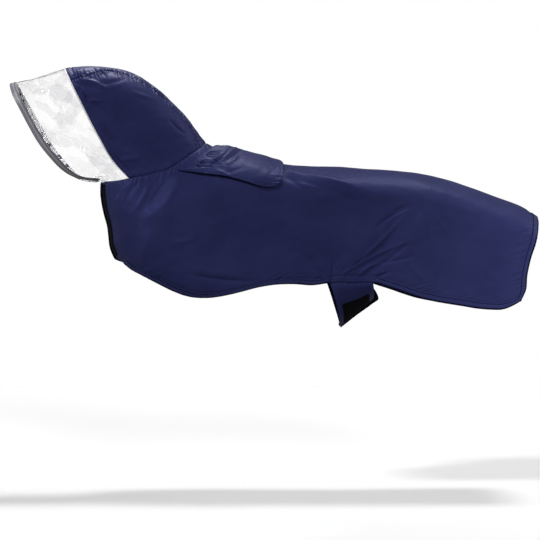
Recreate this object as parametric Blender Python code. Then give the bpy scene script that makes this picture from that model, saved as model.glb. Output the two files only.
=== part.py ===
"""Dog raincoat in its worn pose, hollow, with no wearer: size L, back length about 0.6 m.

Frame: +X towards the tail, +Z up, the dog's left side at -Y. The origin is on the inner face
of the back panel at the withers, on the middle plane. The tables below are in millimetres.

Every cloth piece is a wall over one smooth form. In side view the form lies between the ridge
line (brow, nape and spine) and the front line (throat and chest). Its half-width at a point is
the girth there times a round-off towards each of the two lines, so a rib cut across the back is
half an ellipse at the spine with straight flanks below it. Folds push the wall out or in.
"""

import bpy
import numpy as np

MM = 0.001
CLOTH = 1.5
FILM = 1.0
TAPE = 1.0
SEAM_GAP = 0.4
LAY_GAP = 0.45

SPINE_RISE = 58.0
CHEST_RISE = 83.0
NECK_REACH = 110.0

BINDING_WIDTH = 11.0
PEAK_TAPE_WIDTH = 10.5
PEAK_BOUND_EDGE = 11.3
PEAK_THROAT_RISE = 150.0
PEAK_TAPE = 0.8
TRIM = 3.0
STRAP_TRIM = 3.5
CLOSURE_TAPE = 1.2
CLOSURE_TOP_TRIM = 5.0
CLOSURE_FOOT_TRIM = 1.5
HOOK_WIDTH_SHARE = 0.38
RIGHT_FRONT_LIFT = 5.5
LAP_START = np.radians(14.5)
LAP_END = np.radians(38.0)
FOLD_FADE_FROM = 8.0
FOLD_FADE_TO = 45.0

LEFT, RIGHT = -1, 1


def table(columns, *rows):
    """One array for each named column."""
    return {name: np.array(values, float) for name, values in zip(columns.split(), zip(*rows))}


# Middle plane, from the peak's tip over the brow and nape to the tail.
RIDGE = table("x z",
              (-424, 133), (-393, 139.5), (-355, 151), (-322, 161), (-300, 164), (-270, 165),
              (-240, 162.5), (-209, 156), (-185, 146), (-160, 129), (-135, 108), (-110, 83),
              (-88, 57), (-72, 34), (-62, 23), (-50, 16), (-25, 10), (9, 0), (46, -9), (80, -16),
              (130, -20), (185, -21.5), (240, -25.5), (296, -29.5), (333, -34), (370, -42),
              (407, -53), (444, -66), (481, -80), (518, -94), (546, -112))
RIDGE_TAIL_RUN = (610, -160)

# Middle plane, from under the chin to the throat, down the closure, and on under the chest.
CHIN = table("x z",
              (-400, -56), (-360, -60), (-300, -60), (-270, -54), (-253, -49))
CLOSURE = table("x z",
                (-253, -49), (-254, -58), (-253, -73), (-250, -95), (-244, -119), (-240, -134),
                (-238, -156), (-235, -173), (-228, -188))
CHEST = table("x z", (-200, -235), (-140, -285), (-60, -312), (80, -330), (300, -330))

# Side view of the seams and free edges.
NECK_SEAM = table("x z",
                  (-62, 23), (-72, 12.5), (-87, 0), (-109, -16), (-130, -28), (-155, -36),
                  (-180, -41.5), (-201, -45), (-218, -48), (-238, -49.5), (-253, -49))
REAR_EDGE = table("x z",
                  (546, -112), (541, -129), (533, -160), (523, -190), (516, -221), (513, -250),
                  (505, -267))
HEM = table("x z",
            (-228, -188), (-211, -200), (-195, -212), (-169, -224), (-149, -235), (-123, -248),
            (-97, -258), (-63, -262), (-27, -258), (7, -250), (48, -240), (90, -236.5),
            (124, -238), (150, -238.5), (158, -236), (164, -234.3), (202, -234), (240, -233.8),
            (248, -235.5), (258, -239), (289, -249), (324, -261), (396, -275), (450, -282),
            (481, -280), (505, -267))
FRONT_SEAM = table("x z",
                   (-322, 161), (-315, 147), (-308, 134), (-287, 93), (-268, 55), (-249, 20),
                   (-233, -8), (-215, -30), (-201, -45))
PEAK_EDGE = table("x z",
                  (-424, 133), (-415, 110), (-400, 82), (-383, 50), (-362, 15), (-346, -5),
                  (-331, -22), (-317, -34), (-302, -42), (-279, -47), (-253, -49))
CENTRE_SEAM = table("x z",
                    (-308, 134), (-299, 138), (-285, 140), (-263, 148), (-250, 151.5),
                    (-230, 152), (-209, 147), (-185, 137), (-160, 121), (-135, 100), (-110, 75),
                    (-90, 49), (-79, 29), (-72, 12.5))
FLAP_FRONT = table("x z", (-49, 16.5), (-55, 9), (-67, -10), (-83, -24), (-112, -32))
FLAP_REAR = table("x z", (72, -14.5), (78, -20), (80, -32), (77, -47), (66, -61))
FLAP_LOW = table("x z", (-112, -32), (-63, -39), (-14, -48), (34, -60), (66, -61))

# Half the coat's breadth along its length, for the head and for the body.
HEAD_GIRTH = table("x half",
                   (-430, 50), (-400, 55), (-345, 62), (-300, 64), (-250, 69), (-200, 70),
                   (-150, 69), (-100, 67), (-60, 66), (0, 66))
BODY_GIRTH = table("x half",
                   (-260, 88), (-200, 94), (-100, 101), (0, 103), (100, 100), (200, 97),
                   (260, 97), (340, 103), (430, 108), (500, 108), (560, 104))

# Large folds. Each runs from its start to its end in side view; height is out of the cloth,
# below zero for a hollow, and half_width is where the fold has died away to a third.
FOLDS = {
    LEFT: table("x0 z0 x1 z1 half_width height",
                (163, -238, 70, -48, 30, 4.5),
                (165, -236, 300, -92, 17, 4.0),
                (205, -236, 318, -150, 15, -3.5),
                (241, -236, 330, -110, 16, 4.5),
                (318, -85, 346, -262, 26, 6.0),
                (270, -70, 300, -180, 30, -6.0),
                (150, -232, 110, -145, 16, -3.0),
                (-110, -34, -175, -235, 22, 4.0),
                (-150, -44, -205, -190, 14, -3.0),
                (-192, -48, -232, -120, 12, 2.5),
                (5, -65, -60, -255, 34, -3.5),
                (395, -70, 430, -270, 26, -4.0),
                (470, -95, 478, -268, 24, 3.5)),
    RIGHT: table("x0 z0 x1 z1 half_width height",
                 (172, -238, 88, -60, 32, 4.0),
                 (176, -236, 290, -105, 18, 4.5),
                 (222, -236, 330, -165, 15, -3.0),
                 (252, -238, 352, -120, 17, 4.0),
                 (332, -80, 338, -255, 28, 5.0),
                 (285, -75, 292, -190, 28, -5.0),
                 (140, -232, 88, -160, 17, -3.0),
                 (-104, -36, -160, -240, 24, 3.5),
                 (-146, -46, -212, -175, 15, -3.0),
                 (-185, -50, -225, -135, 13, 2.5),
                 (20, -70, -35, -250, 32, -4.0),
                 (410, -75, 420, -270, 28, -3.5),
                 (482, -100, 470, -268, 24, 3.0)),
}

# Belly straps: where their edges leave the hem and cross the middle plane, in side view.
STRAP_TOP_FRONT = (163, -234.5)
STRAP_TOP_REAR = (241, -233.8)
STRAP_MIDDLE_FRONT = (184, -316)
STRAP_MIDDLE_REAR = (245, -266)
RIGHT_STRAP_BULGE = 14.0
STRAP_TURN_LEFT = np.radians(108)
STRAP_TURN_RIGHT = np.radians(87)
STRAP_LIFT = 5.2
LOOP_PATCH_TURNS = np.radians(33), np.radians(104)
HOOK_PATCH_TURNS = np.radians(66), np.radians(111)
PATCH_EDGES = 0.14, 0.86

# Columns of the back panel: down the closure, round the chest, to the strap, along the strap,
# to the rear, and under the binding there.
BODY_COLUMNS = (7, 4, 11, 4, 11, 1)
BODY_RIDGE_SHARES = (0.19, 0.25, 0.49, 0.595, 0.981, 1.0)
BOUND_EDGE = 11.8
CHEST_ROUND = 62.0
BODY_ROWS = (6, 6, 7)
TOP_SHARE = 0.27
FOOT_SHARE = 0.27
LEFT_FRONT_TURN = np.radians(-7.0)
RIGHT_FRONT_TURN = np.radians(1.6)
LAST_TURN = np.radians(7.0)


def smooth_line(*tables):
    """Points close together on a Catmull-Rom curve through the rows of the tables."""
    points = np.concatenate([np.column_stack([part["x"], part["z"]]) for part in tables])
    keep = np.append(True, np.linalg.norm(np.diff(points, axis=0), axis=1) > 1e-6)
    points = points[keep]
    run = np.append(0, np.cumsum(np.linalg.norm(np.diff(points, axis=0), axis=1)))
    slope = np.gradient(points, run, axis=0)
    at = np.linspace(0, run[-1], 24 * len(points))
    piece = np.clip(np.searchsorted(run, at, side="right") - 1, 0, len(run) - 2)
    step = (run[piece + 1] - run[piece])[:, None]
    t = (at - run[piece])[:, None] / step
    return ((2 * t**3 - 3 * t**2 + 1) * points[piece]
            + (t**3 - 2 * t**2 + t) * step * slope[piece]
            + (3 * t**2 - 2 * t**3) * points[piece + 1]
            + (t**3 - t**2) * step * slope[piece + 1])


def along(line, share):
    """Points at these shares of a line's length."""
    run = np.append(0, np.cumsum(np.linalg.norm(np.diff(line, axis=0), axis=1)))
    at = np.asarray(share) * run[-1]
    return np.stack([np.interp(at, run, line[:, 0]), np.interp(at, run, line[:, 1])], axis=-1)


def stretch(line, start, end):
    """The part of a line between the places nearest two points."""
    first = np.argmin(np.linalg.norm(line - np.array(start), axis=1))
    last = np.argmin(np.linalg.norm(line - np.array(end), axis=1))
    return line[first:last + 1] if last > first else line[last:first + 1][::-1]


def share_at(line, point):
    """Share of a line's length at the place nearest a point."""
    run = np.append(0, np.cumsum(np.linalg.norm(np.diff(line, axis=0), axis=1)))
    return run[np.argmin(np.linalg.norm(line - np.array(point), axis=1))] / run[-1]


def signed_distance(points, line, inside):
    """Distance from points to a line, below zero on its outer side."""
    start = line[:-1]
    step = line[1:] - start
    flat = points.reshape(-1, 2)
    offset = flat[:, None, :] - start[None]
    t = np.clip((offset * step).sum(-1) / (step**2).sum(-1), 0, 1)
    gap = offset - t[..., None] * step
    distance = np.linalg.norm(gap, axis=-1)
    nearest = distance.argmin(axis=1)
    rows = np.arange(len(flat))
    turn = step[nearest, 0] * offset[rows, nearest, 1] - step[nearest, 1] * offset[rows, nearest, 0]
    sign = np.where(turn * inside >= 0, 1, -1)
    return (sign * distance[rows, nearest]).reshape(points.shape[:-1])


def ease(value, low, high):
    """Smooth step from 0 at low to 1 at high."""
    t = np.clip((value - low) / (high - low), 0, 1)
    return t * t * (3 - 2 * t)


def ease_in(table_of, name, at):
    """A column read between its rows with a smooth curve."""
    known = table_of["x"]
    slope = np.gradient(table_of[name], known)
    piece = np.clip(np.searchsorted(known, at, side="right") - 1, 0, len(known) - 2)
    step = known[piece + 1] - known[piece]
    t = np.clip((at - known[piece]) / step, 0, 1)
    value = table_of[name]
    return ((2 * t**3 - 3 * t**2 + 1) * value[piece] + (t**3 - 2 * t**2 + t) * step * slope[piece]
            + (3 * t**2 - 2 * t**3) * value[piece + 1] + (t**3 - t**2) * step * slope[piece + 1])


ridge_line = smooth_line(RIDGE)
ridge_reach = np.vstack([ridge_line, RIDGE_TAIL_RUN])
chin_line = smooth_line(CHIN)
chest_line = smooth_line(CLOSURE, CHEST)
neck_line = smooth_line(NECK_SEAM)
front_seam = smooth_line(FRONT_SEAM)
centre_seam = smooth_line(CENTRE_SEAM)
foot_line = smooth_line(CLOSURE, HEM)
NAPE = np.array([NECK_SEAM["x"][0], NECK_SEAM["z"][0]])
THROAT = np.array([NECK_SEAM["x"][-1], NECK_SEAM["z"][-1]])
BROW = front_seam[0]
HOOD_CORNER = (-128, -27)
HOOD_COLUMNS = 20


def girth(points):
    """Half-breadth before the round-off: the head's, growing to the body's past the neck seam."""
    x = points[..., 0]
    neck = THROAT - NAPE
    towards_body = np.array([-neck[1], neck[0]]) / np.linalg.norm(neck)
    past_neck = (points - NAPE) @ towards_body
    head = ease_in(HEAD_GIRTH, "half", x)
    body = ease_in(BODY_GIRTH, "half", x)
    return head + (body - head) * ease(past_neck, 0, NECK_REACH)


def round_off(depth):
    """Square of the ellipse's share of its breadth at a share of its rise."""
    return np.where(depth < 1, 2 * depth - depth**2, 1)


def front_depth(points):
    """How far points lie inside the front line, which turns a corner at the throat."""
    chin = signed_distance(points, chin_line, 1)
    chest = signed_distance(points, chest_line, 1)
    sign = np.where((chin > 0) | (chest > 0), 1, -1)
    return sign * np.minimum(np.abs(chin), np.abs(chest))


def breadth_squared(points):
    """Square of the form's half-width at points in side view, below zero outside the form."""
    ridge_depth = signed_distance(points, ridge_reach, -1)
    return (girth(points)**2 * round_off(ridge_depth / SPINE_RISE)
            * round_off(front_depth(points) / CHEST_RISE))


def folds(points, side):
    """Height of the folds at points in side view."""
    height = np.zeros(points.shape[:-1])
    for x0, z0, x1, z1, half_width, top in zip(*FOLDS[side].values()):
        start = np.array([x0, z0])
        run = np.array([x1, z1]) - start
        length = np.linalg.norm(run)
        t = (points - start) @ run / length**2
        across = np.abs((points - start) @ np.array([-run[1], run[0]])) / length
        fade = np.sin(np.pi * np.clip((t + 0.15) / 1.3, 0, 1))**2
        height += top * fade * np.exp(-(across / half_width)**2)
    return height


def on_coat(points, side, lift=0.0, past=False, lap_way=None):
    """Points on the coat's outer face and its outward directions, at points in side view.

    A point marked past lies beyond the front line and so on the other side of the middle. Where
    the right front laps over the left one it moves outwards, or along lap_way if that is given.
    """
    points = np.asarray(points, float)
    step = 0.01
    squared = np.maximum(breadth_squared(points), 0)
    slope_x = breadth_squared(points + (step, 0)) - breadth_squared(points - (step, 0))
    slope_z = breadth_squared(points + (0, step)) - breadth_squared(points - (0, step))
    hand = side * np.where(past, -1, 1)
    y = hand * np.sqrt(squared)
    out = np.stack([-slope_x / (4 * step), y, -slope_z / (4 * step)], axis=-1)
    out /= np.linalg.norm(out, axis=-1, keepdims=True)
    fade = ease(np.sqrt(squared), FOLD_FADE_FROM, FOLD_FADE_TO)
    rise = np.asarray(lift, float) + folds(points, side) * fade
    place = np.stack([points[..., 0], y, points[..., 1]], axis=-1) + out * rise[..., None]
    if side == RIGHT:
        place += (out if lap_way is None else np.array(lap_way)) * front_lap(points)[..., None]
    return place, out


def front_lap(points):
    """How far the right front stands off where it laps over the left one."""
    depth = np.clip(front_depth(points) / CHEST_RISE, 0, 1)
    return RIGHT_FRONT_LIFT * (1 - ease(np.arccos(1 - depth), LAP_START, LAP_END))


def patch(top, foot, left, right, u, v, bend=None):
    """Side-view points blended from four edge lines; u runs along the top, v down to the foot.

    top and foot hold the edges' points at each u, left and right are lines read at each v.
    A bend above 1 lets that column's rib run along X first and then turn down.
    """
    bend = np.ones_like(u) if bend is None else bend
    share = np.concatenate([1 - (1 - v)**bend[:, None, None], v], axis=-1)
    u = u[:, None, None]
    corner_left = (1 - share) * top[0] + share * foot[0]
    corner_right = (1 - share) * top[-1] + share * foot[-1]
    return ((1 - share) * top[:, None] + share * foot[:, None]
            + (1 - u) * (along(left, v[..., 0]) - corner_left)
            + u * (along(right, v[..., 0]) - corner_right))


def shares(*runs):
    """Shares joined from runs of (first, last, count), each run starting where the last ended."""
    parts = [np.linspace(first, last, count + 1) for first, last, count in runs]
    return np.concatenate([parts[0]] + [part[1:] for part in parts[1:]])


def draw_in(grid, gap=SEAM_GAP / 2, edges="first last start end"):
    """Pull the named edges of a grid of points towards the points inside them by half a gap."""
    rows, columns = np.indices(grid.shape[:2])
    last_row, last_column = grid.shape[0] - 1, grid.shape[1] - 1
    inner_rows, inner_columns = rows.copy(), columns.copy()
    inner_rows[(rows == 0) & ("first" in edges)] = 1
    inner_rows[(rows == last_row) & ("last" in edges)] = last_row - 1
    inner_columns[(columns == 0) & ("start" in edges)] = 1
    inner_columns[(columns == last_column) & ("end" in edges)] = last_column - 1
    run = grid[inner_rows, inner_columns] - grid
    return grid + gap * run / np.maximum(np.linalg.norm(run, axis=-1, keepdims=True), 1e-9)


def halved(quads, points):
    """Each quad as two triangles, cut along the shorter of the diagonals between the points."""
    long_way = np.linalg.norm(points[:, 0] - points[:, 2], axis=-1)
    other_way = np.linalg.norm(points[:, 1] - points[:, 3], axis=-1)
    cut = np.where((long_way <= other_way)[:, None, None], [(0, 1, 2), (0, 2, 3)],
                   [(0, 1, 3), (1, 2, 3)])
    return np.take_along_axis(quads[:, None], cut, axis=2).reshape(-1, 3)


def closed_mesh(name, vertices, triangles, colour, roughness, metallic=0.0, alpha=1.0):
    """A named object with its own material, its faces turned outwards."""
    mesh = bpy.data.meshes.new(name)
    mesh.from_pydata((vertices * MM).tolist(), [], triangles.tolist())
    mesh.shade_smooth()
    corners = vertices[triangles]
    if np.einsum("ij,ij->", corners[:, 0], np.cross(corners[:, 1], corners[:, 2])) < 0:
        mesh.flip_normals()
    material = bpy.data.materials.new(name)
    material.use_nodes = True
    shader = material.node_tree.nodes["Principled BSDF"]
    shader.inputs["Base Color"].default_value = (*colour, 1)
    shader.inputs["Roughness"].default_value = roughness
    shader.inputs["Metallic"].default_value = metallic
    shader.inputs["Alpha"].default_value = alpha
    mesh.materials.append(material)
    bpy.context.scene.collection.objects.link(bpy.data.objects.new(name, mesh))


def wall(name, outer, inner, finish):
    """A closed wall between two grids of points."""
    rows, columns = outer.shape[:2]
    number = np.arange(rows * columns).reshape(rows, columns)
    count = rows * columns
    quads = np.stack([number[:-1, :-1], number[1:, :-1], number[1:, 1:], number[:-1, 1:]], -1)
    quads = quads.reshape(-1, 4)
    vertices = np.concatenate([outer.reshape(-1, 3), inner.reshape(-1, 3)])
    faces = halved(quads, vertices[quads])
    rim = np.concatenate([number[0, :], number[1:, -1], number[-1, -2::-1], number[-2:0:-1, 0]])
    following = np.roll(rim, -1)
    rims = np.stack([rim, following, following + count, rim + count], -1)
    triangles = np.concatenate([faces, faces[:, ::-1] + count, halved(rims, vertices[rims])])
    closed_mesh(name, vertices, triangles, **finish)


NAVY = dict(colour=(0.017, 0.02, 0.07), roughness=0.45)
CLEAR = dict(colour=(0.85, 0.86, 0.88), roughness=0.08, alpha=0.3)
SILVER_TAPE = dict(colour=(0.16, 0.16, 0.18), roughness=0.4, metallic=0.3)
BLACK_TAPE = dict(colour=(0.008, 0.008, 0.008), roughness=0.9)


def body_shares():
    """Shares along the ridge and along the front and hem for each column of the back panel."""
    length = np.linalg.norm(np.diff(foot_line, axis=0), axis=1).sum()
    chest = share_at(foot_line, (HEM["x"][0], HEM["z"][0]))
    breaks = [chest, chest + CHEST_ROUND / length,
              share_at(foot_line, STRAP_TOP_FRONT), share_at(foot_line, STRAP_TOP_REAR),
              1 - BOUND_EDGE / length, 1.0]
    along_foot = shares(*zip([0.0] + breaks[:-1], breaks, BODY_COLUMNS))
    first, last = BODY_COLUMNS[0], sum(BODY_COLUMNS[:2])
    turn = np.linspace(0, np.pi / 2, last - first + 1)
    along_foot[first:last + 1] = chest + CHEST_ROUND / length * (1 - np.cos(turn))
    along_ridge = shares(*zip((0.0,) + BODY_RIDGE_SHARES[:-1], BODY_RIDGE_SHARES, BODY_COLUMNS))
    return along_foot, along_ridge


def foot_turns(last_turn):
    """Turns round the chest for the rows of a rib, from its flank to its edge."""
    count = BODY_ROWS[2]
    return np.append(np.linspace(np.pi / 2, LAST_TURN, count)[1:], last_turn)


def body_rows(side, rib_lengths):
    """Shares down each rib: close together at the spine and, round the chest, at the closure.

    On the other ribs the last row lies just inside the binding's upper edge.
    """
    top_rows, flank_rows, foot_rows = BODY_ROWS
    top = TOP_SHARE * (1 - np.cos(np.linspace(0, np.pi / 2, top_rows + 1)))
    flank = np.linspace(TOP_SHARE, 1 - FOOT_SHARE, flank_rows + 1)[1:]
    turn = foot_turns(LEFT_FRONT_TURN if side == LEFT else RIGHT_FRONT_TURN)
    rounded = 1 - FOOT_SHARE * (1 - np.cos(turn))
    bound = 1 - BOUND_EDGE / rib_lengths
    even = np.linspace(np.full_like(bound, 1 - FOOT_SHARE), bound, foot_rows, axis=1)[:, 1:]
    even = np.column_stack([even, np.ones_like(bound)])
    chest = BODY_COLUMNS[0]
    closeness = np.interp(np.arange(len(bound)), [chest, chest + 2], [1, 0])[:, None]
    foot = closeness * rounded + (1 - closeness) * even
    head = np.broadcast_to(np.concatenate([top, flank]), (len(bound), top_rows + flank_rows + 1))
    return np.concatenate([head, foot], axis=1)[..., None]


def body_half(side):
    """One half of the back panel from the spine down: outer points and outward directions."""
    along_foot, along_ridge = body_shares()
    ridge_from = share_at(ridge_line, NAPE)
    top = along(ridge_line, ridge_from + (1 - ridge_from) * along_ridge)
    foot = along(foot_line, along_foot)
    down = body_rows(side, np.linalg.norm(foot - top, axis=-1))
    chest = along_foot[BODY_COLUMNS[0]]
    bend = 1 + 0.8 * ease(along_foot, 0, chest) * (1 - ease(along_foot, chest, 0.6))
    side_view = patch(top, foot, neck_line, smooth_line(REAR_EDGE), along_ridge, down, bend)
    past = np.zeros(side_view.shape[:2], bool)
    past[:BODY_COLUMNS[0] + 1, -1] = side == LEFT
    return on_coat(side_view, side, past=past)


def join_halves(left, right):
    """One grid from the left foot over the spine to the right foot."""
    return np.concatenate([left[:, :0:-1], right], axis=1)


def back_panel():
    halves = [body_half(side) for side in (LEFT, RIGHT)]
    outer, out = (join_halves(left, right) for left, right in zip(*halves))
    outer = draw_in(outer, gap=0.3, edges="first")
    wall("back_panel", outer, outer - CLOTH * out, NAVY)
    return outer, out


def hood_side(side):
    """Side of the hood, between the front, centre and neck seams."""
    name = "hood_side_left" if side == LEFT else "hood_side_right"
    columns, rows = HOOD_COLUMNS, 12
    u = np.linspace(0, 1, columns + 1)
    v = np.broadcast_to(np.linspace(0, 1, rows + 1)[:, None], (columns + 1, rows + 1, 1))
    front = stretch(front_seam, centre_seam[0], front_seam[-1])
    foot = stretch(neck_line, front_seam[-1], HOOD_CORNER)
    back = stretch(neck_line, centre_seam[-1], HOOD_CORNER)
    side_view = patch(along(centre_seam, u), along(foot, u), front, back, u, v)
    outer, out = on_coat(side_view, side)
    outer = draw_in(outer)
    wall(name, outer, outer - CLOTH * out, NAVY)


def hood_centre():
    """Strip over the top of the hood, from the brow to the nape."""
    columns, rows = HOOD_COLUMNS, 4
    u = np.linspace(0, 1, columns + 1)
    brow = stretch(front_seam, BROW, centre_seam[0])
    nape = stretch(neck_line, NAPE, centre_seam[-1])
    ridge_shares = np.linspace(share_at(ridge_line, BROW), share_at(ridge_line, NAPE), columns + 1)
    down = np.linspace(0, 1, rows + 1)**2
    v = np.broadcast_to(down[:, None], (columns + 1, rows + 1, 1))
    side_view = patch(along(ridge_line, ridge_shares), along(centre_seam, u), brow, nape, u, v)
    halves = [on_coat(side_view, side) for side in (LEFT, RIGHT)]
    outer, out = (join_halves(left, right) for left, right in zip(*halves))
    outer = draw_in(outer)
    wall("hood_centre", outer, outer - CLOTH * out, NAVY)


def peak_film():
    """Clear film from the hood's front seam forward, from throat to throat over the brow."""
    top_rows, side_rows, foot_rows = 6, 6, 6
    top_share, foot_share = 0.24, 0.32
    chin = share_at(neck_line, front_seam[-1])
    throat_shares = 1 - FOOT_SHARE * (1 - np.cos(foot_turns(0.0)))
    throat_shares = np.concatenate([[chin], throat_shares[:4], [1.0]])
    columns = len(throat_shares) - 1
    brow = share_at(ridge_line, BROW)
    brow_length = np.linalg.norm(BROW - ridge_line[0])
    u = np.append(np.linspace(0, 1 - PEAK_BOUND_EDGE / brow_length, columns), 1)
    top = top_share * (1 - np.cos(np.linspace(0, np.pi / 2, top_rows + 1)))
    flank = np.linspace(top_share, 1 - foot_share, side_rows + 1)[1:]
    foot = 1 - foot_share * (1 - np.cos(np.linspace(np.pi / 2, 0.03, foot_rows + 1)))[1:]
    down = np.concatenate([top, flank, foot])
    v = np.broadcast_to(down[:, None], (len(u), len(down), 1))
    side_view = patch(along(ridge_line, brow * (1 - u)), along(neck_line, throat_shares),
                      front_seam, smooth_line(PEAK_EDGE), u, v)
    across, rib = u[:, None], down[None]
    rise = (1 - across) * across**8 * ease(rib, 0.75, 0.95) * ease(1 - rib, 0, 0.03)
    side_view[..., 1] += PEAK_THROAT_RISE * rise
    halves = [on_coat(side_view, side, lap_way=(-1, 0, 0)) for side in (LEFT, RIGHT)]
    outer, out = (join_halves(left, right) for left, right in zip(*halves))
    outer = draw_in(outer, edges="first start end")
    wall("peak_film", outer, outer - FILM * out, CLEAR)
    return outer, out


def folded_tape(name, edge, inner, edge_out, inner_out, width, wall_under, thick, finish):
    """Tape folded over a free edge, made from the panel's points at the edge and next inside it."""
    run = inner - edge
    length = np.linalg.norm(run, axis=-1, keepdims=True)
    share = width / length
    wide = edge + share * run
    wide_out = edge_out + share * (inner_out - edge_out)
    beyond = -run / length
    top, sole = LAY_GAP + thick, -wall_under - LAY_GAP
    section = [wide + top * wide_out, edge + top * edge_out + top * beyond,
               edge + (sole - thick) * edge_out + top * beyond, wide + (sole - thick) * wide_out,
               wide + sole * wide_out, edge + sole * edge_out + LAY_GAP * beyond,
               edge + LAY_GAP * edge_out + LAY_GAP * beyond, wide + LAY_GAP * wide_out]
    sections = np.stack(section, axis=1)
    stations, around = sections.shape[:2]
    number = np.arange(stations * around).reshape(stations, around)
    after = np.roll(number, -1, axis=1)
    sides = np.stack([number[:-1], number[1:], after[1:], after[:-1]], -1)
    panel = np.stack([inner[:-1], inner[1:], edge[1:], edge[:-1]], axis=1)
    lined = np.stack([panel, panel, panel[:, ::-1], panel[:, ::-1]] * 2, axis=1)
    cap = np.array([(0, 1, 6), (0, 6, 7), (1, 2, 5), (1, 5, 6), (2, 3, 4), (2, 4, 5)])
    triangles = np.concatenate([halved(sides.reshape(-1, 4), lined.reshape(-1, 4, 3)), cap,
                                number[-1, 0] + cap[:, ::-1]])
    closed_mesh(name, sections.reshape(-1, 3), triangles, **finish)


def peak_tape(outer, out):
    """Reflective tape folded over the peak's free edge."""
    rows = outer[:-3:-1, 2:-2]
    folded_tape("peak_tape", *rows, *out[:-3:-1, 2:-2], PEAK_TAPE_WIDTH, FILM, PEAK_TAPE,
                SILVER_TAPE)


def hem_bindings(outer, out):
    """Bias tape folded over the hem: one length before each belly strap and one round the rear."""
    first = BODY_COLUMNS[0] + 2
    strap_front, strap_rear = sum(BODY_COLUMNS[:3]), sum(BODY_COLUMNS[:4])
    for name, flip in (("hem_binding_front_left", 1), ("hem_binding_front_right", -1)):
        rows, turns = (grid[first:strap_front + 1, ::flip][:, :2].swapaxes(0, 1)
                       for grid in (outer, out))
        folded_tape(name, *trimmed(rows, TRIM, TRIM), *turns, BINDING_WIDTH, CLOTH, TAPE, NAVY)
    rows, turns = (rear_rows(grid, strap_rear) for grid in (outer, out))
    rows = trimmed(rows, STRAP_TRIM, STRAP_TRIM)
    folded_tape("hem_binding_rear", *rows, *turns, BINDING_WIDTH, CLOTH, TAPE, NAVY)


def rear_rows(grid, strap_rear):
    """The edge points from strap to strap round the rear, and the points just inside them."""
    edge = np.concatenate([grid[strap_rear:, 0], grid[-1, 1:-1], grid[:strap_rear - 1:-1, -1]])
    inner = np.concatenate([grid[strap_rear:-1, 1], grid[-2:-1, 1], grid[-2, 1:-1],
                            grid[-2:-1, -2], grid[-2:strap_rear - 1:-1, -2]])
    return np.stack([edge, inner])


def trimmed(rows, start, end):
    """A strip's rows of points, shortened by these lengths at its two ends."""
    rows = np.array(rows)
    for place, beside, length in ((0, 1, start), (-1, -2, end)):
        run = rows[:, beside] - rows[:, place]
        rows[:, place] += length * run / np.linalg.norm(run, axis=-1, keepdims=True)
    return rows


def back_flap():
    """Flap over the withers: sewn down along its front, puffed off the back, free behind."""
    columns, rows = 10, 9
    front_height, puff, rear_drop = 2.6, 6.0, 2.6
    u = np.linspace(0, 1, columns + 1)
    start = share_at(ridge_line, (FLAP_FRONT["x"][0], FLAP_FRONT["z"][0]))
    end = share_at(ridge_line, (FLAP_REAR["x"][0], FLAP_REAR["z"][0]))
    down = np.linspace(0, 1, rows + 1)**1.45
    v = np.broadcast_to(down[:, None], (columns + 1, rows + 1, 1))
    side_view = patch(along(ridge_line, start + (end - start) * u), along(smooth_line(FLAP_LOW), u),
                      smooth_line(FLAP_FRONT), smooth_line(FLAP_REAR), u, v)
    across = u[:, None]
    height = front_height + puff * ease(across, 0, 0.22) - rear_drop * ease(across, 0.72, 1.0)
    halves = [on_coat(side_view, side, lift=height - 1.5 * down[None] * ease(across, 0, 0.3))
              for side in (LEFT, RIGHT)]
    outer, out = (join_halves(left, right) for left, right in zip(*halves))
    wall("back_flap", outer, outer - CLOTH * out, NAVY)


def chest_tapes(outer, out):
    """Hook-and-loop down the chest: loop on the left front, hook inside the right one."""
    columns = slice(0, BODY_COLUMNS[0] + 1)
    points = trimmed(outer[columns, :3].swapaxes(0, 1), CLOSURE_TOP_TRIM, CLOSURE_FOOT_TRIM)
    turns = out[columns, :3].swapaxes(0, 1)
    low = points + LAY_GAP * turns
    wall("chest_loop_strip", low + CLOSURE_TAPE * turns, low, BLACK_TAPE)
    hook_points = np.stack([points[0], points[0] + HOOK_WIDTH_SHARE * (points[1] - points[0])])
    hook_turns = np.stack([turns[0], turns[0] + HOOK_WIDTH_SHARE * (turns[1] - turns[0])])
    low = hook_points + (2 * LAY_GAP + CLOSURE_TAPE) * hook_turns
    wall("chest_hook_strip", low + CLOSURE_TAPE * hook_turns, low, BLACK_TAPE)


def strap_points(side, turn, breadth, lift):
    """Points of a belly strap; turn runs from 0 at the hem to 90 degrees under the belly."""
    first, last = share_at(foot_line, STRAP_TOP_FRONT), share_at(foot_line, STRAP_TOP_REAR)
    top = along(foot_line, first + (last - first) * breadth) - (0, SEAM_GAP)
    hem, _ = on_coat(top, side)
    half = np.abs(hem[:, 1])
    middle_front, middle_rear = np.array(STRAP_MIDDLE_FRONT), np.array(STRAP_MIDDLE_REAR)
    middle = middle_front + (middle_rear - middle_front) * breadth[:, None]
    down = np.sin(turn)[:, None]
    bulge = RIGHT_STRAP_BULGE if side == RIGHT else 0.0
    aside = bulge * np.sin(2 * np.clip(turn, 0, np.pi / 2))[:, None] * breadth**2
    x = top[:, 0] + aside + (middle[:, 0] - top[:, 0]) * (1.45 * down - 0.45 * down**2)
    z = top[:, 1] + (middle[:, 1] - top[:, 1]) * down
    y = side * half * np.cos(turn)[:, None]
    points = np.stack([x, y, z], axis=-1)
    out = np.cross(np.gradient(points, axis=1), np.gradient(points, axis=0)) * side
    out /= np.linalg.norm(out, axis=-1, keepdims=True)
    return points + out * lift, out


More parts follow.
